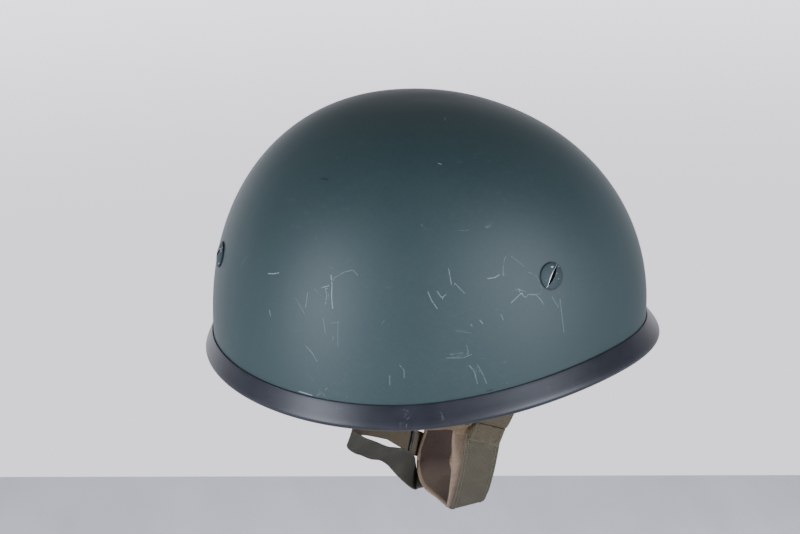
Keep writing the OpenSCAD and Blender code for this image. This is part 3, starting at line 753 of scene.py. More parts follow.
@dataclass(frozen=True)
class Lacquer(Finish):
    """Black lacquered steel, rubbed on its edges."""

    slot: str = "black_steel"
    colour: Colour = (0.016, 0.018, 0.023)

    def fill(self, net: Net) -> None:
        """Lacquer = near black with fine chips to metal.

        Args:
            net: The node tree.
        """
        p = net.places()
        chip = net.noise(p, 1.6, 4.0, 0.65).ramp(0.66, 0.7)
        cloud = net.noise(p, 4.0, 3.0)
        tone = net.mix(cloud.ramp(0.4, 0.8) * 0.6, self.colour, (0.05, 0.055, 0.065))
        tone = net.mix(chip, tone, (0.32, 0.31, 0.3))
        rough = 0.32 + (cloud - 0.5) * 0.2 + chip * 0.1
        net.finish(tone, rough, net.bump(cloud, 0.03), Metallic=chip * 0.8 + 0.1)


@dataclass(frozen=True)
class TableTop(Finish):
    """Pale cloth on the table."""

    slot: str = "table_top"
    colour: Colour = (0.90, 0.89, 0.93)

    def fill(self, net: Net) -> None:
        """Cloth = soft folds with painted shade in their low parts, in a pale tone, over a fine weave.

        Args:
            net: The node tree.
        """
        p = net.places()
        folds = net.noise(net.stretch(p, (1.0, 3.0, 1.0)), 260.0, 3.0)
        weave = net.noise(p, 1.2, 2.0)
        # Painted shade: the low parts of the folds are darker.
        tone = net.mix(folds.ramp(0.3, 0.7), shaded(self.colour, 0.9), self.colour)
        net.finish(tone, 0.9, net.bump(weave + folds * 30.0, 0.05))


# Meshes


@dataclass
class Skin:
    """Closed skins made of rings of points, several of one kind in a batch.

    rings has the shape (pieces, rings, points, 3) in millimetres.
    """

    rings: Array
    looped: bool = False
    tips: Array | None = None
    along: Array | None = None
    across: Array | None = None
    under: Array | None = None
    stored: Mapping[str, Array] = field(default_factory=dict)

    def arrays(self) -> tuple[Array, Array, Array, Array, Array]:
        """Work out corners, faces and chart places.

        Face (i, j) of a skin joins points j and j + 1 of rings i and i + 1, and the ends of a skin
        that isn't looped are fans round a middle point.

        Returns:
            Vertices, four-sided faces, three-sided faces, and the chart places of both.
        """
        rings = self.rings if self.rings.ndim == 4 else self.rings[None]
        k, m, n = rings.shape[:3]
        grid = np.arange(k * m * n).reshape(k, m, n)
        right = np.roll(grid, -1, axis=2)
        rows = slice(None) if self.looped else slice(0, m - 1)
        up, up_right = (np.roll(g, -1, axis=1) for g in (grid, right))
        quads = np.stack([g[:, rows] for g in (grid, right, up_right, up)], axis=-1).reshape(-1, 4)
        u = self.along if self.along is not None else np.arange(m + 1.0)
        v = self.across if self.across is not None else np.arange(n + 1.0)
        u = np.append(u, u[-1]) if len(u) == m else u
        i, j = np.meshgrid(np.arange(m)[rows], np.arange(n), indexing="ij")
        chart = np.stack(
            [np.stack([u[a], v[b]], -1) for a, b in ((i, j), (i, j + 1), (i + 1, j + 1), (i + 1, j))], axis=2
        )
        chart = np.broadcast_to(chart, (k, *chart.shape)).reshape(-1, 4, 2)
        verts = rings.reshape(-1, 3)
        tris, tri_chart = np.zeros((0, 3), int), np.zeros((0, 3, 2))
        if not self.looped:
            middles = np.stack([rings[:, 0].mean(1), rings[:, -1].mean(1)], 1)
            tips = middles if self.tips is None else self.tips.reshape(k, 2, 3)
            first = k * m * n + 2 * np.arange(k)[:, None]
            low = np.stack([right[:, 0], grid[:, 0], np.broadcast_to(first, (k, n))], -1)
            high = np.stack([grid[:, -1], right[:, -1], np.broadcast_to(first + 1, (k, n))], -1)
            tris = np.concatenate([low.reshape(-1, 3), high.reshape(-1, 3)])
            ends = [
                np.stack([np.stack([np.full(n, end), w], -1) for w in (v[:-1], v[1:], v[:-1])], 1)
                for end in (u[0], u[m - 1])
            ]
            tri_chart = np.concatenate([np.tile(end, (k, 1, 1)) for end in ends])
            verts = np.concatenate([verts, tips.reshape(-1, 3)])
        if volume(verts[quads]) + volume(verts[tris]) < 0:
            quads, chart = quads[:, ::-1], chart[:, ::-1]
            tris, tri_chart = tris[:, ::-1], tri_chart[:, ::-1]
        return verts, quads, tris, chart, tri_chart

    def flags(self, count: int) -> Array:
        """Numbers for the underside, 0 on the outside and halfway at the tips.

        Args:
            count: How many corners there are.

        Returns:
            The number of each corner.
        """
        if self.under is None:
            return np.zeros(count)
        rest = count % len(self.under)
        return np.append(np.resize(self.under, count - rest), np.full(rest, 0.5))

    def moved(self, turn: Array, place: Array | float = 0.0) -> "Skin":
        """The same skin with each point p at p turn + place."""
        tips = None if self.tips is None else self.tips @ turn + place
        return replace(self, rings=self.rings @ turn + place, tips=tips)


def volume(corners: Array) -> float:
    """Six times the volume in faces that point outwards: the sum of a . (b x c) over their triangles."""
    first, later = corners[:, :1], corners[:, 1:]
    return float((first * np.cross(later[:, :-1], later[:, 1:])).sum())


def make_object(name: str, verts: Array, faces: list, finish: Finish, sharp: float) -> bpy.types.Object:
    """Make an object with soft shading.

    Args:
        name: Name of the piece.
        verts: Its corners in millimetres.
        faces: Numbers of the corners of each face.
        finish: Its finish.
        sharp: Edges that turn more than this many degrees stay sharp.

    Returns:
        The object, linked to the scene.
    """
    mesh = bpy.data.meshes.new(name)
    mesh.from_pydata((verts * MM).tolist(), [], faces)
    mesh.polygons.foreach_set("use_smooth", np.ones(len(faces), bool))
    mesh.set_sharp_from_angle(angle=math.radians(sharp))
    mesh.materials.append(finish.material())
    made = bpy.data.objects.new(name, mesh)
    bpy.context.scene.collection.objects.link(made)
    log.info("%s: %d faces", name, len(faces))
    return made


def keep_values(made: bpy.types.Object, name: str, values: Array) -> None:
    """Keep a number at each corner of an object's mesh."""
    kept = made.data.attributes.new(name, "FLOAT", "POINT")
    kept.data.foreach_set("value", values.astype(np.float32))


def place_piece(made: bpy.types.Object, body: Body, replaces: Sequence[str]) -> None:
    """Let an object ride on a body.

    Args:
        made: The object.
        body: The body that carries it.
        replaces: Construction nodes that it stands for.
    """
    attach(made, body.value)
    if replaces:
        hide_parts(*replaces)


def add_piece(
    name: str,
    skins: Sequence[Skin],
    finish: Finish,
    replaces: Sequence[str] = (),
    body: Body = Body.HELMET,
    sharp: float = SHARP,
) -> bpy.types.Object:
    """Make one object of closed skins.

    Args:
        name: Name of the piece.
        skins: Its closed skins.
        finish: Its finish.
        replaces: Construction nodes that it stands for.
        body: The body that carries it.
        sharp: Edges that turn more than this many degrees stay sharp.

    Returns:
        The object.
    """
    parts = [skin.arrays() for skin in skins]
    starts = np.cumsum([0] + [len(verts) for verts, *_ in parts[:-1]])
    verts = np.concatenate([verts for verts, *_ in parts])
    faces = [f for p, start in zip(parts, starts) for f in (p[1] + start).tolist() + (p[2] + start).tolist()]
    chart = np.concatenate([places.reshape(-1, 2) for part in parts for places in part[3:]]) * MM
    made = make_object(name, verts, faces, finish, sharp)
    made.data.uv_layers.new(name=CHART).data.foreach_set("uv", chart.ravel())
    keep_values(made, UNDER, np.concatenate([s.flags(len(p[0])) for s, p in zip(skins, parts)]))
    for key, values in skins[0].stored.items():
        keep_values(made, key, values)
    place_piece(made, body, replaces)
    return made


def cut_sheet(
    name: str,
    outer: Array,
    inner: Array,
    cells: Array,
    finish: Finish,
    body: Body,
    replaces: Sequence[str],
) -> bpy.types.Object:
    """Make a thick sheet from two grids of points that close round, keeping only some cells.

    Args:
        name: Name of the piece.
        outer: Places of the outer face, rows by columns.
        inner: Places of the inner face.
        cells: Which cells are kept, one row less than the places.
        finish: Its finish.
        body: The body that carries it.
        replaces: Construction nodes that it stands for.

    Returns:
        The object, closed by a wall wherever a kept cell borders a dropped one.
    """
    m, n = outer.shape[:2]
    front = np.arange(m * n).reshape(m, n)
    front_right = np.roll(front, -1, axis=1)
    back, back_right = front + m * n, front_right + m * n

    def quads(mask: Array, corners: Sequence[Array]) -> Array:
        """Faces on the chosen cells from four grids of corners."""
        return np.stack([c[mask] for c in corners], axis=-1)

    f00, f01, f10, f11 = front[:-1], front_right[:-1], front[1:], front_right[1:]
    b00, b01, b10, b11 = back[:-1], back_right[:-1], back[1:], back_right[1:]
    none = np.zeros((1, n), bool)
    below, above = np.vstack([none, cells[:-1]]), np.vstack([cells[1:], none])
    left, right = np.roll(cells, 1, axis=1), np.roll(cells, -1, axis=1)
    faces = np.concatenate([
        quads(cells, (f00, f10, f11, f01)),
        quads(cells, (b00, b01, b11, b10)),
        quads(cells & ~below, (f00, f01, b01, b00)),
        quads(cells & ~above, (b10, b11, f11, f10)),
        quads(cells & ~left, (f00, b00, b10, f10)),
        quads(cells & ~right, (f11, b11, b01, f01)),
    ])
    verts = np.concatenate([outer.reshape(-1, 3), inner.reshape(-1, 3)])
    used = np.unique(faces)
    renumber = np.zeros(len(verts), int)
    renumber[used] = np.arange(len(used))
    faces = renumber[faces]
    faces = faces if volume(verts[used][faces]) > 0 else faces[:, ::-1]
    made = make_object(name, verts[used], faces.tolist(), finish, SHARP)
    keep_values(made, UNDER, used < m * n)
    place_piece(made, body, replaces)
    return made


def soften(made: bpy.types.Object, width: float, segments: int) -> None:
    """Round the edges of an object.

    Args:
        made: The object.
        width: Width of the rounding in millimetres.
        segments: Steps of the rounding.
    """
    bevel = made.modifiers.new("soft_edges", "BEVEL")
    bevel.width = width * MM
    bevel.segments = segments
    bevel.limit_method = "ANGLE"
    bevel.angle_limit = math.radians(40)


def dress(node: str, finish: Finish) -> None:
    """Give a construction node, whose form is right as it is, its finish.

    Args:
        node: Name of the node.
        finish: Its finish.
    """
    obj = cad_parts[node]
    obj.data.materials.clear()
    obj.data.materials.append(finish.material())
    log.info("%s dressed", node)


def strap(
    line: Array,
    across: Array,
    width: Array | float,
    thick: float,
    columns: int = 20,
    wave: float = 0.0,
    shape: Callable[[Array, Array], Array] | None = None,
) -> Skin:
    """Carry a flat section with round edges along a line.

    A point is line + w (flat s + thick/2 e) + n thick/2 h, where w is the direction of the width,
    n = w x heading points out of the strap, and (s, e, h) runs round the section: s from -1 to 1 on
    the faces with h = 1 and -1, and (e, h) = (sin q, cos q) round the edges.

    Args:
        line: Middle of the strap.
        across: Direction of its width at each row.
        width: Width, or one width for each row.
        thick: Thickness.
        columns: Steps across each face.
        wave: Height of the soft waves that a worn strap has.
        shape: Gives a lift out of the strap from the distance along and across.

    Returns:
        The strap as a skin.
    """
    t = headings(line)
    w = unit(across - t * dot(across, t))
    n = np.cross(w, t)
    flat = np.broadcast_to(np.asarray(width, float), len(line))[:, None] / 2 - thick / 2
    face = np.linspace(-1.0, 1.0, columns + 1)
    bend = np.radians(np.arange(22.5, 180.0, 22.5))
    ones, zeros = np.ones(len(bend)), np.zeros(len(face))
    s = np.concatenate([face, ones, face[::-1], -ones])
    e = np.concatenate([zeros, np.sin(bend), zeros, -np.sin(bend)])
    h = np.concatenate([zeros + 1, np.cos(bend), zeros - 1, -np.cos(bend)])
    under = np.concatenate([zeros, ones * 0.5, zeros + 1, ones * 0.5])
    side = flat * s + thick / 2 * e
    run = lengths(line)
    lift = wave * np.sin(run / 5.2 + 1.3 * np.sin(run / 13.0))[:, None] * (0.4 + 0.6 * s**2)
    if shape is not None:
        lift = lift + shape(run[:, None], side)
    up = thick / 2 * h + lift
    rings = line[:, None] + w[:, None] * side[..., None] + n[:, None] * up[..., None]
    middle = flat.mean() * s + thick / 2 * e
    return Skin(rings, along=run, across=np.append(middle, middle[0]), under=under)


def beads(places: Array, along: Array, normals: Array, length: float, width: float, height: float) -> Skin:
    """Lay small rounded bodies, such as stitches and rivet heads, on a surface.

    Each is the ellipsoid c + t (length/2) cos p + (b (width/2) cos q + n height sin q) sin p.

    Args:
        places: Middle of each on the surface.
        along: Its long direction.
        normals: Direction out of the surface.
        length: Length of each.
        width: Width of each.
        height: How far each stands out of the surface.

    Returns:
        All of them as a batch of skins.
    """
    n = unit(normals)
    t = unit(along - n * dot(along, n))
    b = np.cross(n, t)
    p = np.radians(np.array([22.0, 56.0, 90.0, 124.0, 158.0]))[:, None]
    q = np.radians(np.arange(0.0, 360.0, 45.0))[None, :]
    shape = (len(places), 1, 1, 3)
    c, t, b, n = (v.reshape(shape) for v in (places, t, b, n))
    p, q = p[..., None], q[..., None]
    section = b * width / 2 * np.cos(q) + n * height * np.sin(q)
    rings = c + t * length / 2 * np.cos(p) + section * np.sin(p)
    tips = np.stack([(c + t * length / 2)[:, 0, 0], (c - t * length / 2)[:, 0, 0]], axis=1)
    return Skin(rings, tips=tips)


def stitches(path: Array, normals: Array, pitch: float, length: float, width: float) -> Skin:
    """Lay a row of stitches along a path that lies on a surface."""
    rows = evenly(np.hstack([path, normals]), pitch, pitch / 2)
    return beads(rows[:, :3], headings(rows[:, :3]), rows[:, 3:6], length, width, height=0.3)


# The form that everything follows


@dataclass(frozen=True)
class Dome:
    """The form of the steel dome, from which the other pieces are set in."""

    length: float = 268.0
    width: float = 228.0
    height: float = 143.5
    wall: float = 1.4
    widest_back: float = 22.0
    crown_forward: float = 9.0
    front_swell: float = 5.0
    front_power: float = 2.02
    back_power: float = 2.36
    side_power: float = 2.38
    rim_front: float = -2.0
    rim_back: float = 6.0
    rim_temple: float = 4.6
    tuck: float = 8.2

    def power(self, a: Array | float) -> Array:
        """Roundness at an angle: side + (end - side) cos^2, so 2 is an ellipse."""
        c = np.cos(np.radians(a))
        return self.side_power * (1 - c**2) + np.where(c > 0, self.front_power, self.back_power) * c**2

    def point(self, a: Array | float, z: Array | float, inset: Array | float) -> Array:
        """Place on the dome drawn in all round by an inset.

        With q = z / (height - inset) and power n, the radius share is r = (1 - q^n)^(1/n). Then
        x = (width/2 - inset) sin a r and y = widest_back - (half_length - inset) cos a r
        - crown_forward q^2 - swell, where swell = 2 front_swell cos^2 a q (1 - q) ahead.

        Args:
            a: Angle in degrees, 0 straight ahead and 90 on the wearer's left.
            z: Height above the rim line's middle.
            inset: How far inside the outer face.

        Returns:
            Places in millimetres, with the coordinates on the last axis.
        """
        a, z, inset = np.broadcast_arrays(*(np.asarray(v, float) for v in (a, z, inset)))
        s, c = np.sin(np.radians(a)), np.cos(np.radians(a))
        q = np.clip(z / (self.height - inset), 0.0, 1.0)
        n = self.power(a)
        r = np.maximum(0.0, 1 - q**n) ** (1 / n)
        half = self.length / 2 + np.where(c > 0, self.widest_back, -self.widest_back)
        swell = np.where(c > 0, 2 * self.front_swell * c**2 * q * (1 - q), 0.0)
        ahead = (half - inset) * c * r + self.crown_forward * q**2 + swell
        return np.stack([(self.width / 2 - inset) * s * r, self.widest_back - ahead, z], axis=-1)

    def normal(self, a: Array | float, z: Array | float) -> Array:
        """Direction out of the dome, from the steps along it and up it.

        Args:
            a: Angle in degrees.
            z: Height.

        Returns:
            Directions of length one.
        """
        along = self.point(np.add(a, 0.5), z, 0.0) - self.point(np.subtract(a, 0.5), z, 0.0)
        up = self.point(a, np.add(z, 0.5), 0.0) - self.point(a, np.subtract(z, 0.5), 0.0)
        return unit(np.cross(along, up))

    def rim(self, a: Array | float) -> Array:
        """Height of the rim line: a dip at the brow, a rise over the temples and at the nape.

        Args:
            a: Angle in degrees.

        Returns:
            rim_front cos^2 a + rim_temple sin^2 2a ahead, and rim_back cos^2 a behind.
        """
        r = np.radians(a)
        ahead = self.rim_front * np.cos(r) ** 2 + self.rim_temple * np.sin(2 * r) ** 2
        return np.where(np.cos(r) > 0, ahead, self.rim_back * np.cos(r) ** 2)

    def band(self, a: Array, z: Array, inset: Array | float, low: float, high: float) -> Array:
        """Place on a band, straight between its edges, and on the dome outside them.

        Args:
            a: Angle in degrees.
            z: Height.
            inset: How far inside the dome.
            low: Height of the lower edge.
            high: Height of the upper edge.

        Returns:
            The places.
        """
        k = (np.asarray(z, float) - low) / (high - low)
        straight = lerp(self.point(a, low, inset), self.point(a, high, inset), k[..., None])
        return np.where(((k > 0) & (k < 1))[..., None], straight, self.point(a, z, inset))


DOME = Dome()


@dataclass(frozen=True)
class Layout:
    """Sizes that several sub-assemblies share."""

    bolt_angle: float = 61.0
    bolt_height: float = 60.0
    rear_bolt_height: float = 59.0
    band_inset: float = 10.8
    band_t: float = 1.0
    band_w: float = 22.0
    inner_inset: float = 23.0
    inner_low: float = 34.0
    inner_w: float = 24.0
    lay: float = 0.2
    web_t: float = 1.7
    web_w: float = 21.5
    nape_w: float = 17.0
    nape_t: float = 1.3
    stud_reach: float = 86.0
    stud_forward: float = 13.5
    stud_drop: float = 39.5
    run_gap: float = 0.3
    flange_t: float = 0.8
    arch: float = 0.35

    @property
    def bolts(self) -> dict[str, tuple[float, float]]:
        """Angle and height of each bolt."""
        return {
            "bolt_right": (-self.bolt_angle, self.bolt_height),
            "bolt_left": (self.bolt_angle, self.bolt_height),
            "bolt_rear": (180.0, self.rear_bolt_height),
        }

    @property
    def band_low(self) -> float:
        """Lower edge of the outer band."""
        return self.bolt_height - self.band_w / 2

    @property
    def band_high(self) -> float:
        """Upper edge of the outer band."""
        return self.band_low + self.band_w

    @property
    def inner_high(self) -> float:
        """Upper edge of the inner band."""
        return self.inner_low + self.inner_w

    @property
    def leg_inset(self) -> float:
        """Inset of the middle of a strap that lies on the outer band."""
        return self.band_inset + self.band_t + self.lay + self.web_t / 2 + 0.15

    @property
    def outer_layer(self) -> float:
        """Half width between the middles of the outermost straps at the studs."""
        return self.stud_reach - self.web_t / 2

    @property
    def fold_layer(self) -> float:
        """The same for the folded end of the front leg."""
        return self.outer_layer - self.web_t - self.flange_t - 2 * self.lay

    @property
    def rear_layer(self) -> float:
        """The same for the rear strap."""
        return self.fold_layer - self.web_t - self.lay

    @property
    def chin_layer(self) -> float:
        """The same for the chin strap."""
        return self.rear_layer - self.web_t - self.run_gap

    @property
    def stud(self) -> Array:
        """Place of a stud in the middle plane."""
        return vec(0, -self.stud_forward, -self.stud_drop)

    def on_band(self, a: Array, z: Array, inset: Array | float) -> Array:
        """Place on the outer band, drawn in by an inset."""
        return DOME.band(a, z, inset, self.band_low, self.band_high)

    def wall_normal(self, a: Array, z: Array) -> Array:
        """Direction out of the wall where a strap lies: the band's, and lower down the dome's.

        Args:
            a: Angle in degrees.
            z: Height.

        Returns:
            Directions of length one.
        """
        along = DOME.point(a + 0.5, z, 0.0) - DOME.point(a - 0.5, z, 0.0)
        chord = DOME.point(a, self.band_high, self.band_inset) - DOME.point(a, self.band_low, self.band_inset)
        on_band = unit(np.cross(along, chord))
        k = smooth((z - self.band_low + 14.0) / 8.0)[..., None]
        return unit(lerp(DOME.normal(a, z), on_band, k))


LAYOUT = Layout()


# Sub-assemblies


@dataclass
class SteelShell:
    """The pressed dome."""

    marks: tuple[Mark, ...] = ()
    stains: tuple[Mark, ...] = ()
    marked_side: tuple[float, float] = (-152.0, -58.0)
    fine_step: float = 0.5
    step: float = 1.4
    wall_high: float = 92.0
    wall_rows: int = 90
    cap_rows: int = 40
    inner_rows: int = 48
    last_angle: float = 89.3
    far_away: float = 9.0

    def angles(self) -> Array:
        """Place the columns, closer on the side that carries the drawn scratches.

        Returns:
            Their angles in degrees.
        """
        first, last = self.marked_side
        coarse = np.arange(last, first + 360.0 - self.step / 2, self.step)
        return np.concatenate([np.arange(first, last, self.fine_step), coarse])

    def skin(self) -> Skin:
        """Rings round the dome, from the inner crown down to the hidden edge and up to the crown.

        Up to wall_high the outside has even rings, and above it they keep even steps of an angle, as
        inside, where z = low + (top - low) sin angle.

        Returns:
            The shell as a skin, with its marks stored.
        """
        a = self.angles()
        low = DOME.rim(a) - DOME.tuck
        k = np.sin(np.radians(np.linspace(0.0, self.last_angle, self.inner_rows)))[:, None]
        inner_top = DOME.height - DOME.wall
        inside = DOME.point(a, lerp(low, inner_top, k), DOME.wall)
        lip = DOME.point(a, low - 0.4, np.full_like(a, DOME.wall / 2))[None]
        wall = DOME.point(a, lerp(low, self.wall_high, np.linspace(0.0, 1.0, self.wall_rows)[:, None]), 0.0)
        start = math.degrees(math.asin(self.wall_high / DOME.height))
        z = DOME.height * np.sin(np.radians(np.linspace(start, self.last_angle, self.cap_rows)))[1:, None]
        rings = np.concatenate([inside[::-1], lip, wall, DOME.point(a, z, 0.0)])
        tips = np.stack([DOME.point(0.0, inner_top, DOME.wall), DOME.point(0.0, DOME.height, 0.0)])
        points = np.vstack([rings.reshape(-1, 3), tips])
        stored = self.nearest("scratch", self.marks, points) | self.nearest("stain", self.stains, points)
        return Skin(rings, tips=tips, stored=stored)

    def nearest(self, name: str, marks: Sequence[Mark], points: Array) -> dict[str, Array]:
        """Find the nearest mark of each point.

        With s the share along a mark, cut to 0..1, the distance is |p - start - s run|, and the offset
        has the sign of run x (p - start) . outwards.

        Args:
            name: Kind of the marks.
            marks: The marks.
            points: Points of the mesh.

        Returns:
            Offset across the nearest mark, distance from it, and its strength, by their stored names.
        """
        across, strength = np.zeros((2, len(points)))
        away = np.full(len(points), self.far_away)
        out = unit(points - vec(0, DOME.widest_back, 0))
        for mark in marks:
            start, run = vec(*mark.start), vec(*mark.end) - vec(*mark.start)
            off = points - start
            s = np.clip(off @ run / (run @ run), 0.0, 1.0)
            gap = np.linalg.norm(off - s[:, None] * run, axis=1)
            closer = gap < away
            across = np.where(closer, (np.cross(unit(run), off) * out).sum(axis=1), across)
            strength = np.where(closer, mark.strength, strength)
            away = np.minimum(away, gap)
        return {f"{name}_{part}": values for part, values in zip(STORED, (across, away, strength))}

    def build(self) -> None:
        """Make the shell."""
        bolts = tuple(tuple(DOME.point(a, z, 0.0)) for a, z in LAYOUT.bolts.values())
        add_piece("shell", [self.skin()], ShellPaint(bolts=bolts), ["steel_shell"])


@dataclass
class RubberEdge:
    """The rubber channel over the edge of the steel, with its flared skirt."""

    skirt_front: float = 8.3
    skirt_back: float = 5.4
    drop: float = 10.3
    edge_drop: float = 14.4
    lip: float = 3.0
    fit: float = 0.15
    columns: int = 400

    def profile(self, a: Array) -> Array:
        """Corners of the section.

        Args:
            a: Angles in degrees.

        Returns:
            Distance out of the steel and height of each corner at each angle.
        """
        skirt = lerp(self.skirt_back, self.skirt_front, (1 + np.cos(np.radians(a))) / 2)
        inside = -DOME.wall - self.lip
        groove = -DOME.tuck - LAYOUT.lay - self.fit
        corners = [
            (inside, 1.4 - self.edge_drop),
            (inside + 1.4, -self.edge_drop),
            (skirt - 4.0, -self.edge_drop),
            (skirt - 1.1, 0.5 - self.edge_drop),
            (skirt + 0.1, -self.drop - 1.8),
            (skirt, -self.drop),
            (lerp(1.0, skirt, 0.42), -0.45 * self.drop),
            (1.0, -0.4),
            (0.6, 0.0),
            (self.fit, -0.2),
            (self.fit, groove),
            (-DOME.wall - self.fit, groove),
            (-DOME.wall - self.fit, -2.4),
            (-DOME.wall - 0.5 * self.lip, -2.6),
            (inside, -4.6),
        ]
        return np.stack([np.stack(np.broadcast_arrays(x, z, 0.0 * a), -1) for x, z in corners], axis=1)

    def skin(self) -> Skin:
        """Carry the rounded section round the rim line.

        Returns:
            The rubber edge as a skin.
        """
        a = np.arange(self.columns) * 360.0 / self.columns
        section = np.stack([rounded(corners, reach=2.6, steps=5, closed=True) for corners in self.profile(a)])
        z = DOME.rim(a)[:, None] + section[..., 1]
        points = DOME.point(a[:, None], z, -section[..., 0])
        run = lengths(np.vstack([points[:, 0], points[:1, 0]]))
        girth = lengths(np.vstack([section[0], section[0, :1]]))
        return Skin(points, looped=True, along=run, across=girth)

    def build(self) -> None:
        """Make the rubber edge."""
        add_piece("rubber_edge", [self.skin()], EdgeRubber(), ["rim_trim"])


@dataclass
class Bolts:
    """The three slotted bolts, with the spacers, washers and nuts whose forms the frame has."""

    head_d: float = 15.6
    head_h: float = 2.1
    lip: float = 0.5
    seat: float = 0.05
    slot_mid: float = 4.3
    slot_r: float = 11.0
    slot_rise: float = 9.8
    worn: float = 0.42
    shank_d: float = 5.0
    pitch: float = 0.8
    turns: tuple[float, ...] = (-41.0, 70.0, -38.0)

    @property
    def crown(self) -> float:
        """Radius of the round top of a head."""
        rise = self.head_h - self.lip
        return ((self.head_d / 2) ** 2 + rise**2) / (2 * rise)

    def top(self, s: Array, w: Array) -> Array:
        """Height of the uncut head: seat + head_h - crown + (crown^2 - s^2 - w^2)^0.5."""
        return self.seat + self.head_h - self.crown + np.sqrt(self.crown**2 - s**2 - w**2)

    def head(self) -> Skin:
        """A head as sections across its slot, with s along the slot and w across it.

        The slot is cut by a thin-edged disc: z = slot_rise - ((slot_r (1 - |w|/slot_mid))^2 - s^2)^0.5.
        Its edge w, where that meets the top, is found by putting the height back in four times.

        Returns:
            The head as a skin, standing on the origin.
        """
        half = self.head_d / 2
        s = half * np.sin(np.radians(np.linspace(-88.0, 88.0, 121)))[:, None]
        wide = np.sqrt(half**2 - s**2)
        edge = 0.0 * s
        for _ in range(4):
            away = np.hypot(s, self.slot_rise - self.top(s, edge))
            edge = np.clip(self.slot_mid * (1 - away / self.slot_r), 0.01, 0.8 * wide)
        worn = edge + np.minimum(self.worn, 0.3 * (wide - edge))
        shoulder = wide - np.minimum(0.25, 0.3 * (wide - worn))
        run = np.linspace(0.0, 1.0, 9)[None]
        inside = np.array([[0.93, 0.6, 0.3]])
        right = np.hstack([edge * inside[:, ::-1], edge, worn, lerp(worn, shoulder, run[:, 1:])])
        w = np.hstack([-right[:, ::-1], 0.0 * s, right])
        disc = (self.slot_r * (1 - np.abs(w) / self.slot_mid)) ** 2 - s**2
        cut = self.slot_rise - np.sqrt(np.maximum(disc, 0.0))
        slotted = np.abs(w) < edge * 0.99
        z = np.where(slotted, np.clip(cut, self.seat + 0.12, self.top(s, w)), self.top(s, w))
        side = self.top(s, wide) - 0.22
        w = np.hstack([w, wide, wide, 0.4 * wide, -0.4 * wide, -wide, -wide])
        z = np.hstack([z, side, *[0.0 * s + self.seat] * 4, side])
        rings = np.stack([np.broadcast_to(s, w.shape), w, z], axis=-1)
        flat = np.zeros(run.size - 1)
        # Under numbers: 0 paint, 1 the bare edges of the slot, 2 its inside, which the finish darkens as
        # painted shade.
        under = np.concatenate([flat, [0.0, 1.0], np.full(7, 2.0), [0.4, 0.0], flat, np.zeros(6)])
        tips = np.array([[-half, 0.0, self.seat + 0.1], [half, 0.0, self.seat + 0.1]])
        return Skin(rings, tips=tips, under=under)

    def shank(self, length: float) -> Skin:
        """A shank, waved by 0.16 (1 - cos(2 pi z/pitch)) for its thread.

        Args:
            length: Its length below the dome.

        Returns:
            The shank as a skin.
        """
        z = np.arange(0.3, -length + 0.5, -self.pitch / 6)
        z = np.append(z, -length)[:, None]
        r = self.shank_d / 2 - 0.16 * (1 - np.cos(2 * math.pi * z / self.pitch))
        r[-1] = self.shank_d / 2 - 0.7
        q = np.radians(np.arange(0.0, 360.0, 15.0))[None]
        return Skin(np.stack(np.broadcast_arrays(r * np.cos(q), r * np.sin(q), z), axis=-1))

    def build(self) -> None:
        """Make the bolts and dress what is on them."""
        for (node, (a, z)), turn in zip(LAYOUT.bolts.items(), self.turns):
            place, out = DOME.point(a, z, 0.0), DOME.normal(a, z)
            level = unit(vec(-out[1], out[0], 0.0))
            down = np.cross(level, out)
            r = math.radians(turn)
            along = math.cos(r) * down + math.sin(r) * level
            axes = np.stack([along, np.cross(out, along), out])
            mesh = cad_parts[node].data
            flat = np.empty(3 * len(mesh.vertices))
            mesh.vertices.foreach_get("co", flat)
            length = -float(((flat.reshape(-1, 3) / MM - place) @ out).min())
            skins = [skin.moved(axes, place) for skin in (self.head(), self.shank(length))]
            finish = BoltFinish(place=tuple(map(float, place)))
            add_piece(f"slotted_{node}", skins, finish, [node], sharp=40.0)
        for node in ("bolt_spacers", "bolt_washers", "bolt_nuts"):
            dress(node, SheetSteel(colour=(0.34, 0.34, 0.32), roughness=0.42))


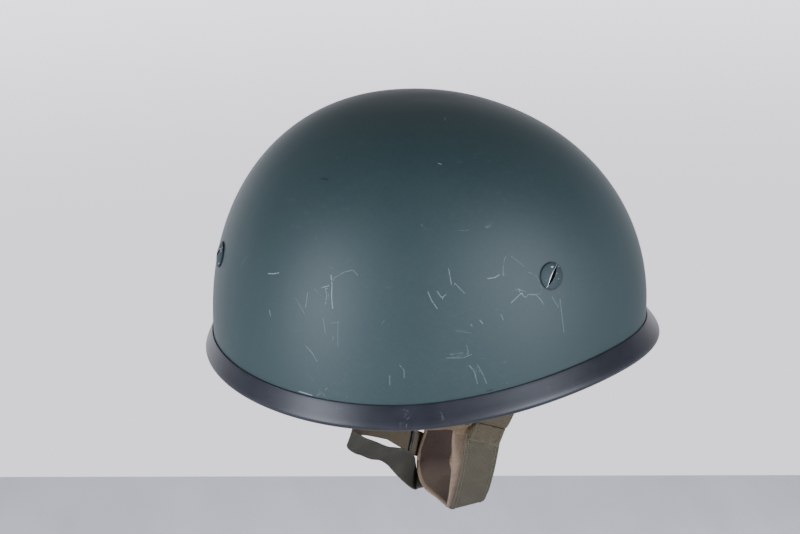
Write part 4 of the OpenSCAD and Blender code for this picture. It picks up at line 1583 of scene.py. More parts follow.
@dataclass
class LinerBands:
    """The two sheet bands, the bow springs between them and their rivets."""

    spring_angles: tuple[float, ...] = (0, 30, 96, 119, 142, 218, 241, 264, 330)
    spring_half: float = 9.0
    spring_t: float = 0.8
    spring_w: float = 10.0
    rivet_share: float = 0.86
    columns: int = 240

    @property
    def middle(self) -> float:
        """Height of the middle of the springs."""
        return (LAYOUT.band_low + LAYOUT.inner_high) / 2

    def ring(self, inset: float, low: float, high: float) -> Skin:
        """Carry a section with round edges round the dome.

        Args:
            inset: Inset of the band's outer face.
            low: Height of its lower edge.
            high: Height of its upper edge.

        Returns:
            The band as a skin.
        """
        a = np.arange(self.columns) * 360.0 / self.columns
        half = LAYOUT.band_t / 2
        q = np.radians(np.arange(0.0, 180.0, 30.0))
        face = np.linspace(0.0, 1.0, 7)[:-1]
        rise = high - low
        up = half + (rise - 2 * half) * face
        z = np.concatenate([up, rise - half + half * np.sin(q), rise - up, half - half * np.sin(q)])
        depth = np.concatenate([0 * q, half - half * np.cos(q), 0 * q + 2 * half, half + half * np.cos(q)])
        lower, upper = (DOME.point(a[:, None], edge, inset + depth) for edge in (low, high))
        return Skin(lerp(lower, upper, (z / rise)[None, :, None]), looped=True)

    def spring_place(self, a: Array, z: Array, depth: Array | float, bow: Array) -> Array:
        """Place in a spring, which lies between the two bands.

        Args:
            a: Angle in degrees.
            z: Height.
            depth: Depth in the spring.
            bow: 0 on the outer band and 1 under the inner band.

        Returns:
            The places.
        """
        foot = LAYOUT.band_inset + LAYOUT.band_t + LAYOUT.lay + depth
        top = LAYOUT.inner_inset - LAYOUT.lay - self.spring_t + depth
        outer = LAYOUT.on_band(a, z, foot)
        inner = DOME.band(a, z, top, LAYOUT.inner_low, LAYOUT.inner_high)
        return lerp(outer, inner, bow[..., None])

    def springs(self) -> Skin:
        """Strips bent in a bow, with the section (cos^0.28 q, sin^0.28 q), narrower at their ends.

        Returns:
            All springs as a batch of skins.
        """
        k = np.linspace(-1.0, 1.0, 41)[None, :, None]
        a = np.array(self.spring_angles)[:, None, None] + k * self.spring_half
        bow = smooth(1.25 * (1 - np.abs(k)))
        q = np.radians(np.arange(0.0, 360.0, 22.5))[None, None, :]
        side, deep = (np.sign(v) * np.abs(v) ** 0.28 for v in (np.cos(q), np.sin(q)))
        taper = np.sqrt(np.clip(1 - np.abs(k) ** 16, 0.12, 1.0))
        z = self.middle + side * self.spring_w / 2 * taper
        depth = self.spring_t / 2 * (1 + deep)
        return Skin(self.spring_place(*np.broadcast_arrays(a, z, depth, bow)))

    def rivets(self) -> Skin:
        """Round rivet heads at both feet of each spring.

        Returns:
            All heads as a batch of skins.
        """
        feet = self.spring_half * self.rivet_share * np.array([-1.0, 1.0])
        a = (np.array(self.spring_angles)[:, None] + feet).ravel()
        z = np.full_like(a, self.middle)
        place = self.spring_place(a, z, self.spring_t, np.zeros_like(a))
        inward = -LAYOUT.wall_normal(a, z)
        return beads(place, np.tile(UP, (len(a), 1)), inward, length=4.2, width=4.2, height=0.9)

    def build(self) -> None:
        """Make bands, springs and rivets."""
        steel = SheetSteel()
        outer = self.ring(LAYOUT.band_inset, LAYOUT.band_low, LAYOUT.band_high)
        inner = self.ring(LAYOUT.inner_inset, LAYOUT.inner_low, LAYOUT.inner_high)
        add_piece("liner_band_outer", [outer], steel, ["outer_band"])
        add_piece("liner_band_inner", [inner], steel, ["inner_band"])
        spring_steel = SheetSteel(colour=(0.30, 0.30, 0.31), roughness=0.3)
        add_piece("bow_springs", [self.springs()], spring_steel, ["band_springs"])
        add_piece("spring_rivets", [self.rivets()], SheetSteel(colour=(0.5, 0.48, 0.44)))


@dataclass
class LeatherLiner:
    """The sweatband with its fingers, the lace through their tips and the rivets on the band."""

    fingers: int = 8
    thick: float = 1.8
    opening: float = 0.3
    lean: float = 3.0
    lace_d: float = 2.2
    band_rows: int = 3
    finger_rows: int = 8
    fine_rows: int = 6
    fine_columns: int = 30

    @property
    def inset(self) -> float:
        """Inset of the outer face of the leather."""
        return LAYOUT.inner_inset + LAYOUT.band_t + LAYOUT.lay

    @property
    def low(self) -> float:
        """Height of the lower edge."""
        return LAYOUT.inner_low - 2.0

    def height(self, row: Array | float) -> Array:
        """Height of a row: top sin(angle), with the angle in even steps.

        Args:
            row: Row up the leather.

        Returns:
            Its height.
        """
        top = DOME.height - self.inset - self.lean
        high = top * (1 - self.opening**DOME.side_power) ** (1 / DOME.side_power)
        first, last = math.asin(self.low / top), math.asin(high / top)
        return top * np.sin(lerp(first, last, np.asarray(row, float) / (self.band_rows + self.finger_rows)))

    def place(self, finger: Array, k: Array, row: Array, deep: Array | float) -> Array:
        """Place in the leather.

        The fingers part by slits of 1 + 7 s degrees each side, s easing up the finger, the corners of
        their tips drop by 4 k^4 u^6, and they lean away from the dome above the band.

        Args:
            finger: Number of the finger.
            k: Place across it, -1 to 1.
            row: Row up the leather.
            deep: Depth in the leather.

        Returns:
            The places.
        """
        pitch = 360.0 / self.fingers
        up = row / (self.band_rows + self.finger_rows)
        slit = 1.0 + 7.0 * smooth((row - self.band_rows) / self.finger_rows)
        a = finger * pitch + k * (pitch / 2 - slit)
        z = self.height(row) - 4.0 * np.abs(k) ** 4 * up**6
        lean = self.lean * smooth(1.6 * (z - self.low) / LAYOUT.inner_w)
        curl = 0.8 * smooth((row - self.band_rows) / self.finger_rows) * (k**2 - 0.4)
        return DOME.point(a, z, self.inset + lean + deep - curl)

    def build(self) -> None:
        """Make leather, lace, rivets and the stitched edge."""
        made = cut_sheet("leather_liner", *self.sheet(), Leather(), Body.HELMET, ["leather_liner"])
        soften(made, width=0.45, segments=2)
        add_piece("crown_lace", [self.lace()], Cord(), ["crown_lace"])
        a = np.linspace(0.0, 360.0, 241)
        edge = DOME.point(a, self.low + 3.0, self.inset + self.lean * smooth(4.8 / 24) + self.thick)
        thread = Cord(colour=(0.30, 0.24, 0.16), pitch=1.2)
        rows = stitches(edge, -DOME.normal(a, self.low + 3.0), pitch=4.0, length=2.8, width=0.7)
        add_piece("liner_stitches", [rows], thread)
        add_piece("liner_rivets", [self.rivets()], SheetSteel(colour=(0.5, 0.42, 0.28)))

    def sheet(self) -> tuple[Array, Array, Array]:
        """Lay both faces of the leather on one grid.

        Returns:
            Outer face, inner face, and which cells are cut out of the hide.
        """
        rows = np.arange(self.fine_rows * (self.band_rows + self.finger_rows) + 1) / self.fine_rows
        finger, place = np.divmod(np.arange(self.fingers * self.fine_columns), self.fine_columns)
        k = 2.0 * place / (self.fine_columns - 1) - 1.0
        outer, inner = (self.place(finger, k, rows[:, None], deep) for deep in (0.0, self.thick))
        whole = np.arange(len(rows) - 1)[:, None] < self.band_rows * self.fine_rows
        cells = whole | (place < self.fine_columns - 1)[None, :]
        return outer, inner, cells

    def lace(self) -> Skin:
        """A cord in a ring that passes in and out of the tips of the fingers.

        Returns:
            The lace as a skin.
        """
        steps, sides = 480, 10
        a = np.arange(steps) * 360.0 / steps
        middle = self.inset + self.lean + self.thick / 2
        swing = self.thick / 2 + self.lace_d / 2
        depth = middle - swing * np.cos(np.radians(a * self.fingers))
        z = float(self.height(self.band_rows + self.finger_rows)) - 4.0
        line = DOME.point(a, z, depth)
        out = unit((line - DOME.point(0.0, DOME.height, 0.0)) * vec(1, 1, 0))
        q = np.radians(np.arange(sides) * 360.0 / sides)[None, :, None]
        rings = line[:, None] + self.lace_d / 2 * (np.cos(q) * out[:, None] + np.sin(q) * UP)
        run = lengths(np.vstack([line, line[:1]]))
        return Skin(rings, looped=True, along=run, across=np.arange(sides + 1.0) / sides)

    def rivets(self) -> Skin:
        """Flat rivet heads that hold the leather to the inner band.

        Returns:
            All heads as a batch of skins.
        """
        a = (np.arange(2 * self.fingers) + 0.5) * 180.0 / self.fingers
        z = np.full_like(a, self.low + 9.0)
        lean = self.lean * smooth(1.6 * (z - self.low) / LAYOUT.inner_w)
        place = DOME.point(a, z, self.inset + lean + self.thick)
        inward = -DOME.normal(a, z)
        return beads(place, np.tile(UP, (len(a), 1)), inward, length=6.4, width=6.4, height=0.9)


@dataclass
class Pads:
    """The foam pads on the inside of the dome."""

    thick: float = 7.4
    crown_t: float = 13.0
    fit: float = 0.4
    low: float = 11.0

    @property
    def wall(self) -> float:
        """Inset of the face that is glued to the steel."""
        return DOME.wall + self.fit

    def wall_pad(self, middle: float, half: float, low: float, high: float) -> Skin:
        """A pillow on the wall: thick (0.04 + 0.96 f) (1 + 0.12 (1 - h^2)), f = ((1 - k^6)(1 - h^8))^0.4.

        Args:
            middle: Angle of its middle in degrees.
            half: Half its width in degrees.
            low: Height of its lower edge.
            high: Height of its upper edge.

        Returns:
            The pad as a skin.
        """
        k = np.sin(np.radians(np.linspace(-88.0, 88.0, 61)))[:, None]
        h = np.sin(np.radians(np.linspace(-90.0, 90.0, 25)))[None, :]
        a = middle + half * k
        full = np.sqrt(1 - np.abs(k) ** 6)
        draw = 3.0 * (1 - full)
        z = lerp(low + draw, high - draw, (1 + h) / 2)
        fill = ((1 - k**6) * (1 - h**8)) ** 0.4
        t = self.thick * (0.04 + 0.96 * fill) * (1 + 0.12 * (1 - h**2))
        a, z, t = np.broadcast_arrays(a, z, t)
        front = DOME.point(a, z, self.wall + t)
        front = front + unit(front * vec(1, 1, 0)) * (0.35 * wander(front, 9.0))[..., None]
        back = DOME.point(a, z, np.full_like(z, self.wall))
        return Skin(np.concatenate([front, back[:, -2:0:-1]], axis=1))

    def crown_pad(self) -> Skin:
        """A lens under the crown with a round edge.

        Returns:
            The pad as a skin.
        """
        a = np.arange(96) * 3.75
        outer_top, inner = DOME.height - self.wall, self.wall + self.crown_t
        inner_top = DOME.height - inner
        k = np.sin(np.radians(np.linspace(1.5, 89.0, 20)))[::-1, None]
        low, low_in = DOME.height * 0.86, DOME.height * 0.84
        back = DOME.point(a, lerp(low, outer_top, k), self.wall)
        q = np.radians(np.linspace(12.0, 168.0, 9))[:, None]
        inset = lerp(self.wall, inner, (1 - np.cos(q)) / 2)
        edge = DOME.point(a, lerp(low, low_in, (1 - np.cos(q)) / 2) - 1.0 * np.sin(q), inset)
        front = DOME.point(a, lerp(low_in, inner_top, k), inner)[::-1]
        front = front + 0.4 * UP * wander(front, 11.0)[..., None]
        tips = np.stack([DOME.point(0.0, outer_top, self.wall), front[-1].mean(0)])
        return Skin(np.concatenate([back, edge, front]), tips=tips)

    def build(self) -> None:
        """Make the pads."""
        foam = Foam()
        high = LAYOUT.band_low - 5.0
        pads = {
            "pad_brow": (self.wall_pad(0.0, 34.0, self.low, high), "forehead_pad"),
            "pad_nape": (self.wall_pad(180.0, 34.0, self.low + 4.0, high + 2.0), "nape_pad"),
            "pad_temple_right": (self.wall_pad(-108.0, 20.0, self.low, high), "temple_pad_right"),
            "pad_temple_left": (self.wall_pad(108.0, 20.0, self.low, high), "temple_pad_left"),
            "pad_crown": (self.crown_pad(), "crown_pad"),
        }
        for name, (skin, node) in pads.items():
            add_piece(name, [skin], foam, [node])


@dataclass
class HelmetStraps:
    """The straps that stay with the helmet: two front legs, the rear strap and the studs."""

    leg_w: float = 18.5
    slope: float = 22.0
    fold_at: float = 4.0
    hung_rows: int = 14
    steps: int = 16

    @property
    def down(self) -> Array:
        """Direction down a front leg at its stud."""
        r = math.radians(self.slope)
        return vec(0, math.sin(r), -math.cos(r))

    @property
    def across(self) -> Array:
        """Direction of the width of a front leg at its stud."""
        return np.cross(self.down, vec(-1, 0, 0))

    def leg_line(self) -> tuple[Array, Array]:
        """Lead the right front leg from the bolt to its sewn end.

        Returns:
            Its middle line and the directions of its width.
        """
        angle = LAYOUT.bolt_angle
        inset = LAYOUT.leg_inset + LAYOUT.arch
        stud = LAYOUT.stud + vec(-LAYOUT.outer_layer, 0, 0)
        fold_r = (LAYOUT.outer_layer - LAYOUT.fold_layer) / 2
        keys = np.stack([
            LAYOUT.on_band(-angle, LAYOUT.band_low + 0.5, inset),
            DOME.point(-angle - 3.0, 0.5 * LAYOUT.bolt_height, inset + 0.3),
            DOME.point(-angle - 7.5, 0.0, inset + 1.5),
            stud - 14 * self.down - vec(3.6, 0, 0),
            stud - 7 * self.down,
        ])
        top = LAYOUT.on_band(-angle, LAYOUT.band_high - 0.5, inset)
        on_band = lerp(top, keys[0], np.linspace(0, 0.98, self.hung_rows)[:, None])
        hang = np.vstack([on_band, flow(keys, self.steps)])
        q = np.radians(np.arange(0.0, 181.0, 15.0))[:, None]
        bend = (self.fold_at + fold_r * np.sin(q)) * self.down + fold_r * (1 - np.cos(q)) * vec(1, 0, 0)
        run = np.linspace(-7.0, self.fold_at, 15)[1:-1, None] * self.down
        back = np.linspace(self.fold_at, -10.0, 18)[1:, None] * self.down + vec(2 * fold_r, 0, 0)
        line = np.vstack([hang, stud + run, stud + bend, stud + back])
        k = smooth((np.arange(len(hang)) - self.hung_rows) / (len(hang) - self.hung_rows - 1))
        out = lerp(LAYOUT.wall_normal(-angle - 6 * k, hang[:, 2]), vec(-1, 0, 0), k[:, None])
        hung_sides = unit(np.cross(out, headings(line)[:len(hang)]))
        return line, np.vstack([hung_sides, np.tile(self.across, (len(line) - len(hang), 1))])

    def leg(self) -> tuple[Skin, Skin]:
        """Make the right front leg.

        Returns:
            The leg and the stitches of its end tab.
        """
        line, sides = self.leg_line()
        from_stud = np.linalg.norm(line - (LAYOUT.stud - vec(LAYOUT.outer_layer, 0, 0)), axis=1)
        at_stud = lengths(line)[np.argmin(from_stud)]

        def dent(run: Array, side: Array) -> Array:
            """The flange of the stud shows as a low round rise with a dimple in it."""
            far = np.sqrt((run - at_stud) ** 2 + side**2)
            return 0.30 * np.exp(-((far - 3.4) / 1.1) ** 2) - 0.35 * np.exp(-((far / 1.9) ** 2))

        stud = LAYOUT.stud - vec(LAYOUT.outer_layer + LAYOUT.web_t / 2 + 0.02, 0, 0)
        half = self.leg_w / 2 - 2.6
        corners = [(-9.5, -half), (-9.5, half), (3.6, half), (3.6, -half), (-9.5, -half)]
        path = np.stack([stud + d * self.down + s * self.across for d, s in corners])
        fine = np.vstack([lerp(path[i], path[i + 1], np.linspace(0, 1, 12)[:, None]) for i in range(4)])
        out = np.tile(vec(-1, 0, 0), (len(fine), 1))
        thread = stitches(fine, out, pitch=2.6, length=1.9, width=0.55)
        return strap(line, sides, self.leg_w, LAYOUT.web_t, columns=30, wave=0.12, shape=dent), thread

    def rear_line(self) -> tuple[Array, Array, Array]:
        """Lead the rear strap from stud to stud, round the back.

        Returns:
            Its middle line, the directions of its width, and its widths.
        """
        layer, inset = LAYOUT.rear_layer, LAYOUT.leg_inset
        a0, y, z = 75.0, -LAYOUT.stud_forward, -LAYOUT.stud_drop

        def key(a: float, height: float, inset: float, lean: float, turn: float) -> tuple[float, ...]:
            """A row of place, outward lean, share of the wall's direction, and angle."""
            return (*LAYOUT.on_band(a, height, inset), lean, turn, a)

        keys = np.array([
            (layer, y - 6.0, z - 2.6, 0, 0, a0),
            (layer, y, z, 0, 0, a0),
            (layer, y + 9.6, z + 4.4, 0, 0, a0),
            (layer + 5.4, y + 15.0, z + 7.4, 46, 0.1, a0 + 6),
            (layer + 7.6, y + 20.5, z + 9.8, 56, 0.3, a0 + 10),
            key(a0 + 17, z + 17.5, inset + 7, 40, 0.8),
            key(a0 + 31, z + 31.5, inset + 3, 12, 1),
            key(a0 + 45, 8.0, inset + 0.8, 0, 1),
            key(a0 + 60, 22.0, inset, 0, 1),
            key(a0 + 75, 35.0, inset, 0, 1),
            key(a0 + 91, 51.0, inset, 0, 1),
            key(180.0, LAYOUT.rear_bolt_height, inset, 0, 1),
        ])
        half = flow(keys, self.steps)
        half[:, 0] = np.where(half[:, 1] < 5, np.maximum(layer, half[:, 0]), half[:, 0])
        half[:, 3] = np.maximum(0, half[:, 3])
        half[:, 4] = np.clip(half[:, 4], 0, 1)
        whole = np.vstack([half * vec(-1, 1, 1, 1, 1, -1), half[-2::-1]])
        line = whole[:, :3]
        sideways = np.sign(line[:, :1]) * vec(1, 0, 0)
        out = unit(lerp(sideways, LAYOUT.wall_normal(whole[:, 5], whole[:, 2]), whole[:, 4:5]))
        up = unit(np.cross(headings(line), out))
        lean = np.radians(whole[:, 3:4])
        widths = LAYOUT.nape_w * lerp(0.5, 1.0, smooth((whole[:, 1] - y - 2) / 22))
        return line, np.cos(lean) * up + np.sin(lean) * out, widths

    def build(self) -> None:
        """Make the straps and dress the studs."""
        web = Webbing(colour=(0.080, 0.063, 0.038), half_width=self.leg_w / 2)
        leg, sewn = self.leg()
        for side, turn in (("right", np.eye(3)), ("left", MIRROR)):
            add_piece(f"front_strap_{side}", [leg.moved(turn)], web, [f"front_leg_{side}"])
            add_piece(f"front_strap_stitches_{side}", [sewn.moved(turn)], THREAD)
            dress(f"stud_{side}", SheetSteel(colour=(0.4, 0.39, 0.36)))
        line, across, widths = self.rear_line()
        tan = Webbing(colour=(0.15, 0.10, 0.052), pale=(0.24, 0.17, 0.10), half_width=LAYOUT.nape_w / 2)
        rear = strap(line, across, widths, LAYOUT.web_t, columns=22, wave=0.1)
        add_piece("rear_strap", [rear], tan, ["rear_strap"])


@dataclass
class ChinHarness:
    """What swings on the studs: chin strap, leather lining, sockets and nape strap."""

    depth: float = 89.0
    tilt: float = 8.0
    overhang: float = 6.0
    lining_t: float = 2.6
    top: float = -0.095
    steps: int = 12
    cad_steps: int = 3
    cap_rise: float = 6.28 - 1.7
    sewn_lift: float = 1.7
    sewn_room: float = 1.6
    slide_run: float = 32.0
    buckle_rest: float = 2.0
    shape: tuple[tuple[float, float, float], ...] = (
        (-1.0, 1.2, 0.07),
        (-0.97, 1.8, 0.163),
        (-0.83, 2.0, 0.376),
        (-0.64, 1.5, 0.59),
        (-0.446, 0.5, 0.764),
        (-0.255, -1.0, 0.899),
        (-0.05, -2.0, 0.978),
        (0.18, 0.5, 1.0),
        (0.395, 6.0, 0.978),
        (0.574, 4.0, 0.899),
        (0.714, -3.0, 0.747),
        (0.842, -5.0, 0.522),
        (0.944, -2.0, 0.253),
        (1.0, 0.4, 0.07),
    )
    shares: Array = field(init=False)
    line: Array = field(init=False)
    heading: Array = field(init=False)
    across: Array = field(init=False)
    out: Array = field(init=False)

    def __post_init__(self) -> None:
        """Work out the middle line of the chin strap and its directions."""
        ends = [(-1.0, 0.0, self.top), (-1.0, 0.0, 0.0)]
        keys = ends + list(self.shape) + [(-x, y, z) for x, y, z in ends[::-1]]
        self.shares = flow(np.array(keys), self.steps)
        x = LAYOUT.chin_layer * np.clip(self.shares[:, 0], -1, 1)
        y = LAYOUT.stud[1] + self.shares[:, 1]
        z = LAYOUT.stud[2] - self.depth * self.shares[:, 2]
        self.line = np.stack([x, y, z], axis=1)
        self.heading = headings(self.line)
        tilt = np.radians(self.tilt * smooth((self.shares[:, 2] - 0.55) / 0.4))
        w = np.stack([0 * tilt, np.cos(tilt), -np.sin(tilt)], axis=1)
        self.across = unit(w - self.heading * dot(w, self.heading))
        self.out = np.cross(self.across, self.heading)

    @property
    def nape_gap(self) -> float:
        """Distance from the middle of the chin strap to that of a strap that lies on it."""
        return LAYOUT.web_t / 2 + LAYOUT.lay + LAYOUT.nape_t / 2

    def row(self, stretch: int) -> int:
        """Row of the chin line just after the start of a stretch, as the construction counts it."""
        return (stretch * self.cad_steps + 1) * self.steps // self.cad_steps

    def webbing(self) -> Skin:
        """The chin strap."""
        widths = LAYOUT.web_w * lerp(0.55, 1.0, smooth((self.shares[:, 2] - self.top) / 0.11))
        return strap(self.line, self.across, widths, LAYOUT.web_t, columns=32, wave=0.1)

    def lining(self) -> Skin:
        """The leather lining, standing off over the sockets and over the sewn end of the nape strap.

        Returns:
            The lining as a skin.
        """
        first = (self.cad_steps - 1) * self.steps // self.cad_steps
        rows = slice(first, len(self.line) - first)
        share = self.shares[rows, 2]
        over = self.overhang * lerp(1.0, 0.3, smooth(share))
        index = np.arange(len(self.line))[rows] * self.cad_steps / self.steps
        sewn = self.row(11) * self.cad_steps / self.steps
        over_socket = 1 - smooth((share - 0.09) / 0.2)
        over_end = 1 - smooth((np.abs(index - sewn) - 1.5) / 3.5)
        rise = LAYOUT.web_t / 2 + LAYOUT.lay + self.lining_t / 2 + self.cap_rise * over_socket
        rise = rise + (LAYOUT.nape_t + self.sewn_lift + self.sewn_room) * over_end
        line = self.line[rows] - rise[:, None] * self.out[rows] + (over / 2)[:, None] * self.across[rows]
        widths = LAYOUT.web_w + over + 0.6
        return strap(line, self.across[rows], widths, self.lining_t, columns=36, wave=0.15)

    def seams(self) -> Skin:
        """Two rows of stitches on the outer face of the chin strap, one near each edge.

        Returns:
            Both rows as a batch of skins.
        """
        rows = slice(2 * self.steps, len(self.line) - 2 * self.steps)
        face = self.line[rows] + self.out[rows] * (LAYOUT.web_t / 2 + 0.02)
        half = LAYOUT.web_w / 2 - 2.2
        paths = [face + s * half * self.across[rows] for s in (-1, 1)]
        runs = [stitches(path, self.out[rows], pitch=3.0, length=2.1, width=0.6) for path in paths]
        return Skin(np.concatenate([r.rings for r in runs]), tips=np.concatenate([r.tips for r in runs]))

    def nape_line(self) -> tuple[Array, Array, Array]:
        """Lead the nape strap from under the chin strap, round its loop and back through the buckle.

        Returns:
            Its middle line, the directions of its width, and its widths.
        """
        low, sewn = self.row(10), self.row(11)
        side, back = self.heading[low], self.across[low]
        reach = LAYOUT.web_w / 2
        under = self.line[low] + self.nape_gap * self.out[low]
        end = self.line[sewn] - (self.nape_gap + self.sewn_lift) * self.out[sewn]
        slide, slide_across, slide_end = self.slide()

        def hung(x: float, y: float, z: float) -> Array:
            """A place given behind and below the studs."""
            return vec(x * LAYOUT.chin_layer / 78.4, LAYOUT.stud[1] + y, LAYOUT.stud[2] - z * self.depth / 89)

        keys = np.array([
            (*(under - 8 * back), *side, 1),
            (*(under + (reach + 0.6) * back), *side, 1),
            (*(under + (reach + 4.6) * back + vec(-0.8, 0, 1.4)), *(side + vec(-0.2, -0.2, 0.2)), 1),
            (*hung(29.5, 27.5, 74.5), 0, -0.35, 0.8, 1),
            (*hung(21, 34.2, 63), -0.4, -0.4, 0.75, 1),
            (*hung(12.5, 41.2, 54.8), -0.5, -0.5, 0.65, 1),
            (*hung(5, 49.2, 49), -0.52, -0.48, 0.68, 1),
            (*hung(0.5, 57, 42.6), -0.48, -0.4, 0.77, 0.97),
            (*hung(0.5, 63.2, 39), -0.3, -0.35, 0.88, 0.87),
            (*hung(8, 66.5, 36.8), 0, -0.35, 0.93, 0.78),
            (*hung(20, 57, 35), 0.3, -0.4, 0.87, 0.85),
            (*(slide_end + self.slide_run * slide), *slide_across, 1),
        ])
        finish = np.array([
            (*(slide_end + (self.slide_run - 1) * slide), *slide_across, 1),
            (*slide_end, *slide_across, 1),
            (*(end + (reach - 1) * self.across[sewn]), *self.heading[sewn], 1),
            (*(end - 7 * self.across[sewn]), *self.heading[sewn], 1),
        ])
        rows = np.vstack([flow(keys, self.steps + 4), rounded(finish, reach=3.0, steps=9)])
        return rows[:, :3], rows[:, 3:6], LAYOUT.nape_w * rows[:, 6]

    def slide(self) -> tuple[Array, Array, Array]:
        """Lay the straight stretch of the nape strap, on which the buckle slides.

        Returns:
            Its direction, the direction of its width, and its lower end.
        """
        sewn = self.row(11)
        slide = unit(vec(-15, 23.4, 24.3))
        lean = vec(0.63, -0.38, 0.67)
        end = self.line[sewn] - (self.nape_gap + self.sewn_lift) * self.out[sewn]
        end = end + (LAYOUT.web_w / 2 + 5) * self.across[sewn] + vec(-1.4, 0, 1)
        return slide, unit(lean - slide * (slide @ lean)), end

    def build(self) -> None:
        """Make the chin strap, its lining, the nape strap and the stitches, and dress the sockets."""
        web = Webbing(half_width=LAYOUT.web_w / 2)
        suede = Leather(
            slot="suede",
            grain=(0.155, 0.105, 0.067),
            worn=(0.23, 0.165, 0.11),
            flesh=(0.034, 0.020, 0.014),
            roughness=0.80,
            pebble=0.8,
            border=1.7,
            half_width=(LAYOUT.web_w + 3.4) / 2,
            # The flesh side turns lighter below this height.
            pale_below=-116.0,
        )
        # The nape strap's colours are darker than the other webbing's; part of this is painted shade for the
        # shadow it hangs in under the harness.
        nape = Webbing(
            colour=(0.040, 0.037, 0.028),
            shade=(0.018, 0.017, 0.013),
            pale=(0.075, 0.068, 0.05),
            inside=(0.13, 0.098, 0.06),
            half_width=LAYOUT.nape_w / 2,
        )
        add_piece("chin_webbing", [self.webbing()], web, ["chin_strap"], Body.CHIN)
        add_piece("chin_leather", [self.lining()], suede, ["chin_lining"], Body.CHIN)
        add_piece("chin_stitches", [self.seams()], THREAD, body=Body.CHIN)
        line, across, widths = self.nape_line()
        loop = strap(line, across, widths, LAYOUT.nape_t, columns=22)
        add_piece("nape_webbing", [loop], nape, ["nape_strap"], Body.CHIN)
        for side in ("right", "left"):
            dress(f"socket_{side}", SheetSteel(colour=(0.36, 0.35, 0.33)))


@dataclass
class SlideBuckle:
    """The slide buckle on the nape strap."""

    harness: ChinHarness
    length: float = 11.0
    bar: float = 2.0

    def build(self) -> None:
        """Make the frame of the buckle from its five bars, with soft edges."""
        slide, w, end = self.harness.slide()
        middle = end + (self.length / 2 + self.harness.buckle_rest) * slide
        axes = np.stack([slide, w, np.cross(slide, w)])
        half_w = LAYOUT.nape_w / 2 + LAYOUT.run_gap + 0.4
        off = LAYOUT.nape_t / 2 + LAYOUT.run_gap
        thin = self.bar * 0.7
        reach = (self.length - self.bar) / 2
        crossbar, side = (self.bar, 2 * half_w + 2, thin), (self.length, self.bar, 2 * off + 2 * thin)
        boxes = [
            ((-reach, 0, off + thin / 2), crossbar),
            ((reach, 0, off + thin / 2), crossbar),
            ((0, 0, -off - thin / 2), crossbar),
            ((0, half_w + self.bar / 2, 0), side),
            ((0, -half_w - self.bar / 2, 0), side),
        ]
        ring = np.array([(-1, -1), (1, -1), (1, 1), (-1, 1)]) / 2
        rings = []
        for centre, size in boxes:
            ends = [np.hstack([np.full((4, 1), s), ring]) for s in (-0.5, 0.5)]
            rings.append(middle + (vec(*centre) + np.stack(ends) * vec(*size)) @ axes)
        bars = Skin(np.stack(rings))
        made = add_piece("slide_buckle_frame", [bars], Lacquer(), ["slide_buckle"], Body.BUCKLE, 30.0)
        soften(made, width=0.4, segments=3)


# Studio


@dataclass(frozen=True)
class Softbox:
    """A flat lamp that faces the helmet."""

    name: str
    azimuth: float
    elevation: float
    size: tuple[float, float]
    power: float
    distance: float = 1.5
    colour: Colour = (0.88, 0.94, 1.05)


